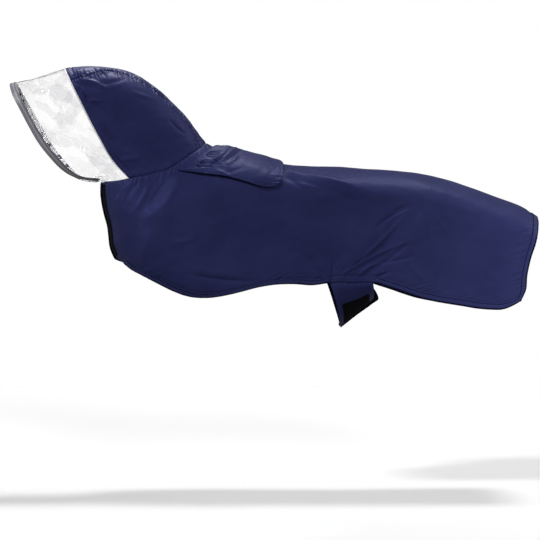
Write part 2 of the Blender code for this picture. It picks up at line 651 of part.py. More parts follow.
def belly_straps():
    """Two straps from the hem that lap under the belly, with loop outside and hook inside."""
    breadth = np.linspace(0, 1, 8)
    turn = np.linspace(0.012, STRAP_TURN_LEFT, 15)
    outer, out = strap_points(LEFT, turn, breadth, 0.0)
    wall("belly_strap_left", outer, outer - CLOTH * out, NAVY)
    turn = np.linspace(0.012, STRAP_TURN_RIGHT, 13)
    lift = STRAP_LIFT * ease(turn, np.radians(12), np.radians(50))[:, None, None]
    outer, out = strap_points(RIGHT, turn, breadth, lift)
    wall("belly_strap_right", outer, outer - CLOTH * out, NAVY)


def belly_patches():
    """Loop patch on the left strap's outer face, hook patch under the right strap's end."""
    breadth = np.linspace(*PATCH_EDGES, 6)
    turn = np.linspace(*LOOP_PATCH_TURNS, 11)
    low, out = strap_points(LEFT, turn, breadth, LAY_GAP)
    wall("belly_loop_patch", low + CLOSURE_TAPE * out, low, BLACK_TAPE)
    turn = np.pi - np.linspace(*HOOK_PATCH_TURNS, 8)
    low, out = strap_points(LEFT, turn, breadth, 2 * LAY_GAP + CLOSURE_TAPE)
    wall("belly_hook_patch", low + CLOSURE_TAPE * out, low, BLACK_TAPE)


for old in list(bpy.data.objects):
    bpy.data.objects.remove(old, do_unlink=True)

panel, panel_out = back_panel()
hood_side(LEFT)
hood_side(RIGHT)
hood_centre()
film, film_out = peak_film()
peak_tape(film, film_out)
hem_bindings(panel, panel_out)
back_flap()
chest_tapes(panel, panel_out)
belly_straps()
belly_patches()
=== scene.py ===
"""Dog raincoat, size L, in its worn shape with no wearer: its cloth, film, tapes and stitches.

+X runs towards the tail and +Z up, the dog's left side is at -Y, and the origin lies on the
withers. Tables and lengths are in millimetres; each mesh is made in metres.
"""

import bpy
import numpy as np
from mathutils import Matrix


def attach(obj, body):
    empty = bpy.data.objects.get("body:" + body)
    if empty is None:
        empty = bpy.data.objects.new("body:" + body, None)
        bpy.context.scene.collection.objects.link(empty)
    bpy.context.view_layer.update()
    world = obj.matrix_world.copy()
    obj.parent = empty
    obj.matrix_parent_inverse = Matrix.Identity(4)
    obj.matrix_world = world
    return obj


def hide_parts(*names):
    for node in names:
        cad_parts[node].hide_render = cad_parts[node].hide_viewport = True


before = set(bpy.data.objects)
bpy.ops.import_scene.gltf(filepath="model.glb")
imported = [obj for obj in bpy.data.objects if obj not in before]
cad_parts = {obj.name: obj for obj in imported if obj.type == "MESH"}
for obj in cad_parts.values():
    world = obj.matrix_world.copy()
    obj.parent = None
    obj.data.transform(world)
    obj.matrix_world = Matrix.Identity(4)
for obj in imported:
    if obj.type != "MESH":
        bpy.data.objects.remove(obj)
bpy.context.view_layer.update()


# The back panel: one large piece of coated nylon from the neck seam to the tail, cut without a
# seam and draped over back and flanks. Everything else is sewn to it. Its wall follows one
# smooth form, with the listed creases laid on and short gathers beside each seam.

MM = 0.001
CLOTH_WALL = 0.6
LEFT, RIGHT = -1, 1

# Rows of x and z in the middle plane: from the peak's tip over the brow and nape to the tail,
# under the chin to the throat, down the closure, and on under the chest.
RIDGE = (
    (-424, 133), (-393, 139.5), (-355, 151), (-322, 161), (-300, 164), (-270, 165), (-240, 162.5),
    (-209, 156), (-185, 146), (-160, 129), (-135, 108), (-110, 83), (-88, 57), (-72, 34), (-62, 23),
    (-50, 16), (-25, 10), (9, 0), (46, -9), (80, -16), (130, -20), (185, -21.5), (240, -25.5),
    (296, -29.5), (333, -34), (370, -42), (407, -53), (444, -66), (481, -80), (518, -94),
    (546, -112))
RIDGE_TAIL_RUN = (610, -160)
CHIN = ((-400, -56), (-360, -60), (-300, -60), (-270, -54), (-253, -49))
CLOSURE = (
    (-253, -49), (-254, -58), (-253, -73), (-250, -95), (-244, -119), (-240, -134), (-238, -156),
    (-235, -173), (-228, -188))
CHEST = ((-200, -235), (-140, -285), (-60, -312), (80, -330), (300, -330))

# Side view of the panel's other edges.
NECK_SEAM = (
    (-62, 23), (-72, 12.5), (-87, 0), (-109, -16), (-130, -28), (-155, -36), (-180, -41.5),
    (-201, -45), (-218, -48), (-238, -49.5), (-253, -49))
REAR_EDGE = (
    (546, -112), (541, -129), (533, -160), (523, -190), (516, -221), (513, -250), (505, -267))
HEM = (
    (-228, -188), (-211, -200), (-195, -212), (-169, -224), (-149, -235), (-123, -248), (-97, -258),
    (-63, -262), (-27, -258), (7, -250), (48, -240), (90, -236.5), (124, -238), (150, -238.5),
    (158, -236), (164, -234.3), (202, -234), (240, -233.8), (248, -235.5), (258, -239), (289, -249),
    (324, -261), (396, -275), (450, -282), (481, -280), (505, -267))

# Rows of x and half the coat's breadth there, for the head and for the body. The breadth is
# reached this deep below the ridge and inside the front, and the head's grows to the body's
# over this length past the neck seam.
HEAD_GIRTH = (
    (-430, 50), (-400, 55), (-345, 62), (-300, 64), (-250, 69), (-200, 70), (-150, 69), (-100, 67),
    (-60, 66), (0, 66))
BODY_GIRTH = (
    (-260, 88), (-200, 94), (-100, 101), (0, 103), (100, 100), (200, 97), (260, 97), (340, 103),
    (430, 108), (500, 108), (560, 104))
SPINE_DEPTH, CHEST_DEPTH, NECK_REACH = 58.0, 83.0, 110.0

# Large folds, each from its start x and z to its end x and z, with its bow, its half width and
# its height out of the cloth, below zero for a hollow. They fade in over these half breadths.
FOLDS = {
    LEFT: (
        (163, -238, 70, -48, 0, 30, 4.5), (165, -236, 300, -92, 0, 17, 4.0),
        (205, -236, 318, -150, 0, 15, -3.5), (241, -236, 330, -110, 0, 16, 4.5),
        (318, -85, 346, -262, 0, 26, 6.0), (270, -70, 300, -180, 0, 30, -6.0),
        (150, -232, 110, -145, 0, 16, -3.0), (-110, -34, -175, -235, 0, 22, 4.0),
        (-150, -44, -205, -190, 0, 14, -3.0), (-192, -48, -232, -120, 0, 12, 2.5),
        (5, -65, -60, -255, 0, 34, -3.5), (395, -70, 430, -270, 0, 26, -4.0),
        (470, -95, 478, -268, 0, 24, 3.5)),
    RIGHT: (
        (172, -238, 88, -60, 0, 32, 4.0), (176, -236, 290, -105, 0, 18, 4.5),
        (222, -236, 330, -165, 0, 15, -3.0), (252, -238, 352, -120, 0, 17, 4.0),
        (332, -80, 338, -255, 0, 28, 5.0), (285, -75, 292, -190, 0, 28, -5.0),
        (140, -232, 88, -160, 0, 17, -3.0), (-104, -36, -160, -240, 0, 24, 3.5),
        (-146, -46, -212, -175, 0, 15, -3.0), (-185, -50, -225, -135, 0, 13, 2.5),
        (20, -70, -35, -250, 0, 32, -4.0), (410, -75, 420, -270, 0, 28, -3.5),
        (482, -100, 470, -268, 0, 24, 3.0)),
}
FOLD_FADE = 8.0, 45.0

# The right front laps over the left one: how far it stands off, and over which turns round the
# chest it comes down to the form.
LAP_LIFT, LAP_TURNS = 5.5, np.radians((14.5, 38.0))

# Where the belly straps leave the hem, in side view.
STRAP_TOP_FRONT, STRAP_TOP_REAR = (163, -234.5), (241, -233.8)

# Columns of the back panel: down the closure, round the chest, to the strap, along the strap,
# to the rear, and under the binding there, and the share of the ridge where each run ends. Then
# the length of hem round the chest, and how far in from it the bindings reach.
BODY_COLUMNS = (7, 4, 11, 4, 11, 1)
BODY_RIDGE_SHARES = (0.19, 0.25, 0.49, 0.595, 0.981, 1.0)
CHEST_ROUND, BOUND_EDGE = 62.0, 11.8

# Rows of each rib: over the spine, down the flank and round the chest. The first and last runs
# take these shares of the rib, and the last rows stand at these turns from the middle plane.
# Ribs at the chest run along X first, the more the higher this bend is.
BODY_ROWS = (6, 6, 7)
TOP_SHARE, FOOT_SHARE = 0.27, 0.27
LAST_TURN = np.radians(7.0)
FRONT_TURN = {LEFT: np.radians(-7.0), RIGHT: np.radians(1.6)}
RIB_BEND = 0.8


def lengths(line):
    """Length from a line's first point along it to each of them, down a grid's first axis."""
    return np.cumsum(np.linalg.norm(np.diff(line, axis=0, prepend=line[:1]), axis=-1), axis=0)


def unit(ways):
    """Directions scaled to a length of 1."""
    return ways / np.linalg.norm(ways, axis=-1, keepdims=True)


def hermite(t, start, end, leaving, arriving):
    """Hermite's cubic at t from 0 to 1, from a start to an end with its slopes at both."""
    return ((2 * t**3 - 3 * t**2 + 1) * start + (t**3 - 2 * t**2 + t) * leaving
            + (3 * t**2 - 2 * t**3) * end + (t**3 - t**2) * arriving)


def smooth_value(at, known, value):
    """A value between its known places, on cubics whose slopes weigh both sides."""
    slope = np.gradient(value, known)
    before = np.clip(np.searchsorted(known, at, side="right") - 1, 0, len(known) - 2)
    step = known[before + 1] - known[before]
    t = np.clip((at - known[before]) / step, 0, 1)
    return hermite(t, value[before], value[before + 1], step * slope[before],
                   step * slope[before + 1])


def smooth_line(*tables):
    """Points close together on a smooth curve through the rows of the tables."""
    points = np.concatenate(tables).astype(float)
    points = points[np.append(True, np.linalg.norm(np.diff(points, axis=0), axis=1) > 1e-6)]
    run = lengths(points)
    at = np.linspace(0, run[-1], 24 * len(points))
    return np.stack([smooth_value(at, run, column) for column in points.T], axis=-1)


def read_line(line, run, at):
    """A line's columns read at these lengths, where run holds the lengths at its points."""
    return np.stack([np.interp(at, run, column) for column in line.T], axis=-1)


def along(line, share):
    """Points at these shares of a line's length."""
    run = lengths(line)
    return read_line(line, run, np.asarray(share) * run[-1])


def nearest(line, point):
    """Number of the line's point that lies nearest to this one."""
    return np.argmin(np.linalg.norm(line - point, axis=1))


def stretch(line, start, end):
    """The part of a line between the places nearest two points."""
    first, last = nearest(line, start), nearest(line, end)
    return line[first:last + 1] if last > first else line[last:first + 1][::-1]


def share_at(line, point):
    """Share of a line's length at the place nearest a point."""
    run = lengths(line)
    return run[nearest(line, point)] / run[-1]


def signed_distance(points, line, inside):
    """Distance from points to a line, below zero on its outer side."""
    step = np.diff(line, axis=0)
    offset = points.reshape(-1, 1, 2) - line[:-1]
    t = np.clip((offset * step).sum(-1) / (step**2).sum(-1), 0, 1)
    distance = np.linalg.norm(offset - t[..., None] * step, axis=-1)
    part = distance.argmin(axis=1)
    row = np.arange(len(part))
    turn = step[part, 0] * offset[row, part, 1] - step[part, 1] * offset[row, part, 0]
    sign = np.where(turn * inside >= 0, 1, -1)
    return (sign * distance[row, part]).reshape(points.shape[:-1])


def ease(value, low, high):
    """Smooth step from 0 at low to 1 at high."""
    t = np.clip((value - low) / (high - low), 0, 1)
    return t * t * (3 - 2 * t)


ridge_line = smooth_line(RIDGE)
ridge_reach = np.vstack([ridge_line, RIDGE_TAIL_RUN])
chin_line = smooth_line(CHIN)
chest_line = smooth_line(CLOSURE, CHEST)
neck_line = smooth_line(NECK_SEAM)
foot_line = smooth_line(CLOSURE, HEM)
nape, throat = np.array(NECK_SEAM[0]), np.array(NECK_SEAM[-1])


def girth(points):
    """Half-breadth before the round-off: the head's, growing to the body's past the neck seam."""
    head, body = (smooth_value(points[..., 0], *np.transpose(rows))
                  for rows in (HEAD_GIRTH, BODY_GIRTH))
    neck = throat - nape
    towards_body = np.array([-neck[1], neck[0]]) / np.linalg.norm(neck)
    return head + (body - head) * ease((points - nape) @ towards_body, 0, NECK_REACH)


def round_off(depth):
    """Square of the ellipse's share of its breadth at a share of its rise."""
    return np.where(depth < 1, 2 * depth - depth**2, 1)


def front_depth(points):
    """How far points lie inside the front line, which turns a corner at the throat."""
    chin, chest = signed_distance(points, chin_line, 1), signed_distance(points, chest_line, 1)
    sign = np.where((chin > 0) | (chest > 0), 1, -1)
    return sign * np.minimum(np.abs(chin), np.abs(chest))


def breadth_squared(points):
    """Square of the form's half-width at points in side view, below zero outside the form."""
    return (girth(points)**2 * round_off(signed_distance(points, ridge_reach, -1) / SPINE_DEPTH)
            * round_off(front_depth(points) / CHEST_DEPTH))


def crease_rise(side_view, rows, overrun=0.06, fading=1, falling=1.5):
    """Height of listed creases. Each runs from (x0, z0) to (x1, z1), bowed sideways by a
    parabola, and falls off across its line as a bell and along it as a sine that runs over both
    ends; fading and falling are the powers of the two.
    """
    rise = np.zeros(side_view.shape[:-1])
    for x0, z0, x1, z1, bow, half_width, top in rows:
        offset, run = side_view - (x0, z0), np.array([x1 - x0, z1 - z0])
        length = np.hypot(*run)
        t = offset @ run / length**2
        across = offset @ np.array([-run[1], run[0]]) / length
        across = across - 4 * bow * np.clip(t, 0, 1) * (1 - np.clip(t, 0, 1))
        fade = np.sin(np.pi * np.clip((t + overrun) / (1 + 2 * overrun), 0, 1))**fading
        rise += top * fade * np.exp(-np.abs(across / half_width)**falling)
    return rise


def on_coat(points, side, lift=0.0, past=False, lap_way=None):
    """Points on the coat's outer face and its outward directions, at points in side view.

    The face stands off the middle by the form's half-width, and its outward direction is the
    slope of that width's square. Folds and lift are laid on along it. A point marked past lies
    beyond the front line and so on the other side of the middle. Where the right front laps
    over the left one it moves outwards, or along lap_way if that is given.
    """
    step = 0.01
    squared = np.maximum(breadth_squared(points), 0)
    slope_x, slope_z = (breadth_squared(points + way) - breadth_squared(points - way)
                        for way in np.diag([step, step]))
    y = side * np.where(past, -1, 1) * np.sqrt(squared)
    out = unit(np.stack([-slope_x / (4 * step), y, -slope_z / (4 * step)], axis=-1))
    folds = crease_rise(points, FOLDS[side], overrun=0.15, fading=2, falling=2)
    rise = lift + folds * ease(np.sqrt(squared), *FOLD_FADE)
    place = np.stack([points[..., 0], y, points[..., 1]], axis=-1) + out * rise[..., None]
    if side == RIGHT:
        turn = np.arccos(1 - np.clip(front_depth(points) / CHEST_DEPTH, 0, 1))
        lap = LAP_LIFT * (1 - ease(turn, *LAP_TURNS))
        place += (out if lap_way is None else np.array(lap_way)) * lap[..., None]
    return place, out


def patch(top, foot, left, right, u, v, bend=None):
    """Side-view points blended from four edge lines; u runs along the top, v down to the foot.

    top and foot hold the edges' points at each u, left and right are lines read at each v, and
    v is one row of shares for all ribs or a row for each. A bend above 1 lets that column's rib
    run along X first and then turn down.
    """
    bend = np.ones_like(u) if bend is None else bend
    v = np.broadcast_to(v, (len(u), v.shape[-1]))[..., None]
    share = np.concatenate([1 - (1 - v)**bend[:, None, None], v], axis=-1)
    u = u[:, None, None]
    corner_left = (1 - share) * top[0] + share * foot[0]
    corner_right = (1 - share) * top[-1] + share * foot[-1]
    return ((1 - share) * top[:, None] + share * foot[:, None]
            + (1 - u) * (along(left, v[..., 0]) - corner_left)
            + u * (along(right, v[..., 0]) - corner_right))


def shares(*runs):
    """Shares joined from runs of (first, last, count), each run starting where the last ended."""
    parts = [np.linspace(first, last, count + 1) for first, last, count in runs]
    return np.concatenate([parts[0]] + [part[1:] for part in parts[1:]])


def body_shares():
    """Shares along the ridge and along the front and hem for each column of the back panel."""
    length = lengths(foot_line)[-1]
    chest = share_at(foot_line, HEM[0])
    breaks = [chest, chest + CHEST_ROUND / length,
              share_at(foot_line, STRAP_TOP_FRONT), share_at(foot_line, STRAP_TOP_REAR),
              1 - BOUND_EDGE / length, 1.0]
    along_foot = shares(*zip([0.0] + breaks[:-1], breaks, BODY_COLUMNS))
    first, last = BODY_COLUMNS[0], sum(BODY_COLUMNS[:2])
    turn = np.linspace(0, np.pi / 2, last - first + 1)
    along_foot[first:last + 1] = chest + CHEST_ROUND / length * (1 - np.cos(turn))
    along_ridge = shares(*zip((0.0,) + BODY_RIDGE_SHARES[:-1], BODY_RIDGE_SHARES, BODY_COLUMNS))
    return along_foot, along_ridge


def foot_turns(last_turn):
    """Turns round the chest for the rows of a rib, from its flank to its edge."""
    return np.append(np.linspace(np.pi / 2, LAST_TURN, BODY_ROWS[2])[1:], last_turn)


def body_rows(side, rib_lengths):
    """Shares down each rib: close together at the spine and, round the chest, at the closure.

    On the other ribs the last row lies just inside the binding's upper edge.
    """
    top_rows, flank_rows, foot_rows = BODY_ROWS
    top = TOP_SHARE * (1 - np.cos(np.linspace(0, np.pi / 2, top_rows + 1)))
    flank = np.linspace(TOP_SHARE, 1 - FOOT_SHARE, flank_rows + 1)[1:]
    rounded = 1 - FOOT_SHARE * (1 - np.cos(foot_turns(FRONT_TURN[side])))
    bound = 1 - BOUND_EDGE / rib_lengths
    even = np.linspace(np.full_like(bound, 1 - FOOT_SHARE), bound, foot_rows, axis=1)[:, 1:]
    even = np.column_stack([even, np.ones_like(bound)])
    chest = BODY_COLUMNS[0]
    closeness = np.interp(np.arange(len(bound)), [chest, chest + 2], [1, 0])[:, None]
    foot = closeness * rounded + (1 - closeness) * even
    head = np.broadcast_to(np.concatenate([top, flank]), (len(bound), top_rows + flank_rows + 1))
    return np.concatenate([head, foot], axis=1)


def body_half(side):
    """One half of the panel from the spine down: outer points, outward ways and side view."""
    along_foot, along_ridge = body_shares()
    ridge_from = share_at(ridge_line, nape)
    top = along(ridge_line, ridge_from + (1 - ridge_from) * along_ridge)
    foot = along(foot_line, along_foot)
    down = body_rows(side, np.linalg.norm(foot - top, axis=-1))
    chest = along_foot[BODY_COLUMNS[0]]
    bend = 1 + RIB_BEND * ease(along_foot, 0, chest) * (1 - ease(along_foot, chest, 0.6))
    side_view = patch(top, foot, neck_line, smooth_line(REAR_EDGE), along_ridge, down, bend)
    past = np.zeros(side_view.shape[:2], bool)
    past[:BODY_COLUMNS[0] + 1, -1] = side == LEFT
    return (*on_coat(side_view, side, past=past), side_view)


def joined(*halves):
    """Both halves' grids as one, from the left foot over the spine to the right foot."""
    return [np.concatenate([left[:, :0:-1], right], axis=1) for left, right in zip(*halves)]


def grid_lengths(points):
    """Lengths down and across a grid to each of its points."""
    return lengths(points), lengths(points.swapaxes(0, 1)).T


def form_grid(points, out, side_view):
    """One array of a form's points, outward directions, side view and lengths from its edges."""
    down, over = grid_lengths(points)
    edges = np.stack([down, down[-1:] - down, over, over[:, -1:] - over], axis=-1)
    return np.concatenate([points, out, side_view, edges], axis=-1)


def finer(form, rows_at, columns_at):
    """A form read between its rows and columns, on cubic curves through its points.

    Each curve is Hermite's cubic over the length between two points. The slope at a point is
    the mean of the slopes on both sides, each weighted by the length of the other side. Returns
    points, outward directions, side view, and lengths from the first, last, start and end edge.
    """
    for axis, at in ((0, rows_at), (1, columns_at)):
        form = np.moveaxis(form, axis, 0)
        step = np.diff(form, axis=0)
        length = np.maximum(np.linalg.norm(step[..., :3], axis=-1, keepdims=True), 1e-6)
        rate = step / length
        middle = (length[1:] * rate[:-1] + length[:-1] * rate[1:]) / (length[1:] + length[:-1])
        slope = np.concatenate([rate[:1], middle, rate[-1:]])
        before = np.minimum(at.astype(int), len(step) - 1)
        form = hermite((at - before)[:, None, None], form[before], form[before + 1],
                       length[before] * slope[before], length[before] * slope[before + 1])
        form = np.moveaxis(form, 0, axis)
    points, out, side_view, edges = np.split(form, (3, 6, 8), axis=-1)
    return points, unit(out), side_view, np.moveaxis(edges, -1, 0)


def varied(rows, seed, shift=12.0, turn=0.18):
    """The same kind of creases for the other side: each moved, turned and resized a little."""
    chance = np.random.default_rng(seed).uniform(-1, 1, (len(rows), 6))
    old = np.array(rows, float)
    middle = (old[:, :2] + old[:, 2:4]) / 2 + shift * chance[:, :2]
    angle, size = turn * chance[:, 2], 1 + 0.25 * chance[:, 3]
    half = (old[:, 2:4] - old[:, :2]) / 2 * size[:, None]
    half = np.stack([half[:, 0] * np.cos(angle) - half[:, 1] * np.sin(angle),
                     half[:, 0] * np.sin(angle) + half[:, 1] * np.cos(angle)], axis=-1)
    rest = old[:, 4:] * (1 + 0.3 * chance[:, 3:])
    return np.concatenate([middle - half, middle + half, rest], axis=1)


def both_sides(points, side_view, rows, seed, shift=12.0):
    """Height of these creases on the left side, and of varied ones on the right side."""
    return np.where(points[..., 1] < 0, crease_rise(side_view, rows),
                    crease_rise(side_view, varied(rows, seed, shift)))


def gathers(along_edge, from_edge, spacing, reach, height, seed):
    """Short gathers beside a seam: a sine of uneven pace along it, dying away from it.

    They rise from nothing at the seam, are highest at a third of their reach, and each has its
    own reach and height.
    """
    phase = np.random.default_rng(seed).uniform(0, 2 * np.pi, 4)
    turn = 2 * np.pi * along_edge / spacing
    wave = np.sin(turn + 1.4 * np.sin(turn / 3.7 + phase[0]) + phase[1])
    own = 1 + 0.45 * np.sin(turn / 2.3 + phase[2])
    t = 3 * from_edge / (reach * own)
    strong = 0.6 + 0.4 * np.sin(turn / 5.1 + phase[3])
    return height * strong * wave * t * np.exp(1 - t)


def ripple(points, size, seed):
    """Soft unevenness about this long, between -1 and 1: a mean of sines in seven directions."""
    chance = np.random.default_rng(seed)
    way = chance.normal(size=(7, 3))
    way *= 2 * np.pi / (size * chance.uniform(0.7, 1.5, (7, 1))
                        * np.linalg.norm(way, axis=1, keepdims=True))
    return np.sin(points @ way.T + chance.uniform(0, 2 * np.pi, 7)).mean(axis=-1) * 1.8


def groove(from_edge, at, deep=0.35, width=1.3):
    """A row of stitches, or the seam itself, draws the cloth in as a bell about this line."""
    return -deep * np.exp(-((from_edge - at) / width)**2)


def shell(name, outer, inner):
    """A closed wall: a grid of points, an inner grid with every second point or all, and a rim.

    Its UV map holds metres along both ways of the grid, so a weave keeps its size.
    """
    step = (outer.shape[0] - 1) // (inner.shape[0] - 1)
    grids = [np.arange(grid[..., 0].size).reshape(grid.shape[:2]) for grid in (outer, inner)]
    grids[1] += grids[0].size
    faces, rims = [], []
    for number in grids:
        faces.append(np.stack([number[:-1, :-1], number[1:, :-1], number[1:, 1:],
                               number[:-1, 1:]], -1).reshape(-1, 4))
        rims.append(np.concatenate([number[0, :], number[1:, -1], number[-1, -2::-1],
                                    number[-2:0:-1, 0]]))
    rim, inner_rim = rims
    around = [np.roll(rim, -shift)[::step] for shift in range(step + 1)]
    edge = np.stack(around + [np.roll(inner_rim, -1), inner_rim], -1)
    spread = np.stack(grid_lengths(outer), axis=-1)
    return closed(name, np.concatenate([outer.reshape(-1, 3), inner.reshape(-1, 3)]),
                  [faces[0], faces[1][:, ::-1], edge],
                  np.concatenate([spread.reshape(-1, 2), spread[::step, ::step].reshape(-1, 2)]))


def closed(name, points, faces, spread):
    """A mesh from points in millimetres and arrays of faces, smooth, spread as its UVs.

    Its faces point outwards: they are turned where the volume they hold is below zero.
    """
    volume = sum(np.einsum("ij,ij->", points[group[:, 0]],
                           np.cross(points[group[:, at]], points[group[:, at + 1]]))
                 for group in faces for at in range(1, group.shape[1] - 1))
    if volume < 0:
        faces = [group[:, ::-1] for group in faces]
    mesh = bpy.data.meshes.new(name)
    mesh.from_pydata((points * MM).tolist(), [], [face for group in faces
                                                  for face in group.tolist()])
    layer = mesh.uv_layers.new(name="spread")
    corners = np.concatenate([group.ravel() for group in faces])
    layer.data.foreach_set("uv", (spread[corners] * MM).ravel())
    mesh.shade_smooth()
    return mesh


def piece(mesh, material, slot, *nodes):
    """The mesh as a shown piece in this material, which stands for these CAD nodes."""
    mesh.materials.append(material)
    made = bpy.data.objects.new(mesh.name, mesh)
    bpy.context.scene.collection.objects.link(made)
    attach(made, "root")
    if nodes:
        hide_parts(*nodes)
    return made


def cloth(node, points, out, rise, step=1, wall=CLOTH_WALL):
    """A piece of nylon from its creased outer points, with its wall below them.

    The inner points lie one wall inwards along the outward directions. Where step is 2 there is
    one for every second point, one wall below the lowest crease nearby.
    """
    low = rise
    if step > 1:
        reach = (2 * step + 1,) * 2
        low = np.lib.stride_tricks.sliding_window_view(np.pad(rise, step, mode="edge"), reach)
        low = low.min(axis=(-2, -1))
    inner = (points - (rise - low + wall)[..., None] * out)[::step, ::step]
    return piece(shell(node + "_cloth", points, inner), nylon, "navy_nylon", node)


def linear(code):
    """An sRGB hex colour as linear red, green, blue and 1."""
    share = np.array([int(code[at:at + 2], 16) for at in (1, 3, 5)]) / 255
    value = np.where(share <= 0.04045, share / 12.92, ((share + 0.055) / 1.055)**2.4)
    return (*value.tolist(), 1.0)


def feed(node, inputs):
    """Sets a node's inputs to these numbers, or links them to the sockets that feed them."""
    for name, value in inputs.items():
        if isinstance(value, bpy.types.NodeSocket):
            node.id_data.links.new(value, node.inputs[name])
        else:
            node.inputs[name].default_value = value


def add(owner, kind, inputs, output=0, stops=(), **settings):
    """Adds a shader node and returns one of its outputs; stops are a ramp's places and colours."""
    made = owner.node_tree.nodes.new("ShaderNode" + kind)
    for name, value in settings.items():
        setattr(made, name, value)
    for number, (place, code) in enumerate(stops):
        element = made.color_ramp.elements[number]
        element.position, element.color = place, linear(code)
    feed(made, inputs)
    return made.outputs[output]


def finish(material, **inputs):
    """Sets the inputs of the material's Principled shader, and links those that are sockets."""
    feed(material.node_tree.nodes["Principled BSDF"],
         {name.replace("_", " "): value for name, value in inputs.items()})
    return material


def new_material(name, **inputs):
    """A material with a Principled shader that has these inputs."""
    material = bpy.data.materials.new(name)
    material.use_nodes = True
    return finish(material, **inputs)


# Plain-weave nylon with a polyurethane coating: a dull satin face, dark indigo, with a faint
# sheen at grazing angles. The coat holds small crumples 8 to 14 mm long and shows slubs of the
# yarn, drawn 1.2 mm wide, because the real threads of 0.2 mm are too fine to see.
nylon = new_material("polyurethane_coated_nylon", Specular_IOR_Level=0.18,
                     Specular_Tint=linear("#7480ff"), Sheen_Weight=0.015, Sheen_Roughness=0.35,
                     Sheen_Tint=linear("#5058c0"))
where = add(nylon, "TexCoord", {}, "Object")
on_weave = where.node.outputs["UV"]
patchy = add(nylon, "TexNoise", {"Vector": where, "Scale": 16.0, "Detail": 3.0})
crumple = add(nylon, "TexNoise", {"Vector": where, "Scale": 95.0, "Detail": 2.5,
                                  "Roughness": 0.55})
yarn = add(nylon, "Mapping", {"Vector": on_weave, "Scale": (830.0, 160.0, 1.0)})
slub = add(nylon, "TexNoise", {"Vector": yarn, "Scale": 1.0, "Detail": 1.0})
crumpled = add(nylon, "Bump", {"Height": crumple, "Strength": 0.55, "Distance": 0.0011})
finish(nylon, Base_Color=add(nylon, "ValToRGB", {"Fac": patchy},
                             stops=((0.3, "#2a2e57"), (0.7, "#30345f"))),
       Roughness=add(nylon, "MapRange", {"Value": patchy, "To Min": 0.4, "To Max": 0.52}),
       Normal=add(nylon, "Bump", {"Height": slub, "Strength": 0.25, "Distance": 0.00012,
                                  "Normal": crumpled}))

# Creases of the left side, in the same columns as the folds. They fan from the strap and the
# hip and cross the chest.
BODY_CREASES = (
    (-110, -43, -142, -104, 5, 9, 2.9), (-142, -104, -173, -129, -4, 8, 2.2),
    (-160, -144, -178, -205, 0, 9, 2.4), (-128, -50, -160, -97, -4, 3.1, -2.5),
    (-160, -47, -192, -108, 4, 3.7, 2.3), (-182, -52, -210, -99, -4, 3.1, -2.2),
    (-199, -56, -225, -93, -4, 3.1, 2), (-217, -61, -228, -86, 0, 2.5, -1.6),
    (-212, -144, -226, -97, 0, 3.7, 1.8), (-120, -163, -77, -154, -2, 3.7, 1.6),
    (-95, -219, 41, -232, -4, 3.7, -3.1), (-88, -207, 2, -221, -2, 7, 1.8),
    (-194, -198, -173, -212, 0, 2.5, -1.6), (41, -176, 84, -223, -2, 7, 2.1),
    (-52, -59, 41, -185, 9, 14, -2.1), (82, -36, 231, -74, 5, 8, 4.2),
    (84, -50, 217, -90, 5, 8, -3.2), (84, -25, 181, -47, 2, 3.7, -2.9),
    (88, -50, 163, -68, -2, 3.1, 2.2), (81, -43, 109, -61, 0, 3.1, -2.2),
    (79, -32, 113, -43, 0, 3.1, 2), (316, -97, 242, -140, -5, 3.7, -3.2),
    (316, -99, 262, -126, -2, 2.5, 2.2), (310, -92, 275, -108, 0, 2.2, -1.8),
    (319, -101, 337, -162, 4, 3.7, 2.9), (336, -101, 386, -171, 5, 3.7, 2.7),
    (350, -97, 415, -158, 5, 8, 1.6), (131, -214, 161, -233, 0, 2.8, 2.7),
    (118, -180, 156, -230, 4, 3.1, -2.5), (143, -198, 161, -232, 0, 2.5, 2.5),
    (169, -198, 167, -232, 0, 2.5, -2.3), (179, -228, 221, -198, 2, 2.5, 3.6),
    (221, -199, 318, -158, 4, 3.1, 2.9), (183, -224, 231, -180, -2, 2.5, -3.1),
    (199, -208, 300, -111, -4, 3.1, 3.1), (214, -223, 253, -199, 4, 2.8, 3.6),
    (253, -199, 319, -185, -2, 2.8, -2.7), (242, -228, 275, -212, 0, 2.5, -2.5),
    (239, -214, 314, -154, -2, 2.8, -2.3), (336, -158, 361, -237, 5, 7, -2.4),
    (296, -185, 332, -233, -2, 3.7, 2), (361, -223, 377, -242, 0, 2.5, 1.8),
    (434, -212, 451, -239, 0, 2.8, -2.2), (402, -244, 407, -266, 0, 2.5, 1.6),
    (468, -113, 463, -198, -5, 9, 1.6), (499, -149, 521, -138, 0, 2.2, -1.6),
    (495, -172, 515, -165, 0, 2.2, -1.6), (91, -50, 310, -92, 9, 20, 5.2),
    (109, -111, 298, -140, 7, 27, -4.4), (2, -97, 163, -169, 11, 13, 1.4))

# The grid's rows are ribs from the neck seam back to the tail; its columns run from the left
# edge over the spine to the right edge.
body_form = form_grid(*joined(body_half(LEFT), body_half(RIGHT)))
STRAP_RIBS = sum(BODY_COLUMNS[:3]), sum(BODY_COLUMNS[:4])
LAST_RIB, SPINE_PLACE = sum(BODY_COLUMNS), sum(BODY_ROWS)
LAST_PLACE = 2 * SPINE_PLACE

# Where the neck seam's stitches lie, and the upper edge of the bindings, with the cloth drawn
# in just above it.
NECK_STITCHES, BINDING_TOP, ABOVE_BINDING = 5.0, 11.0, 13.0


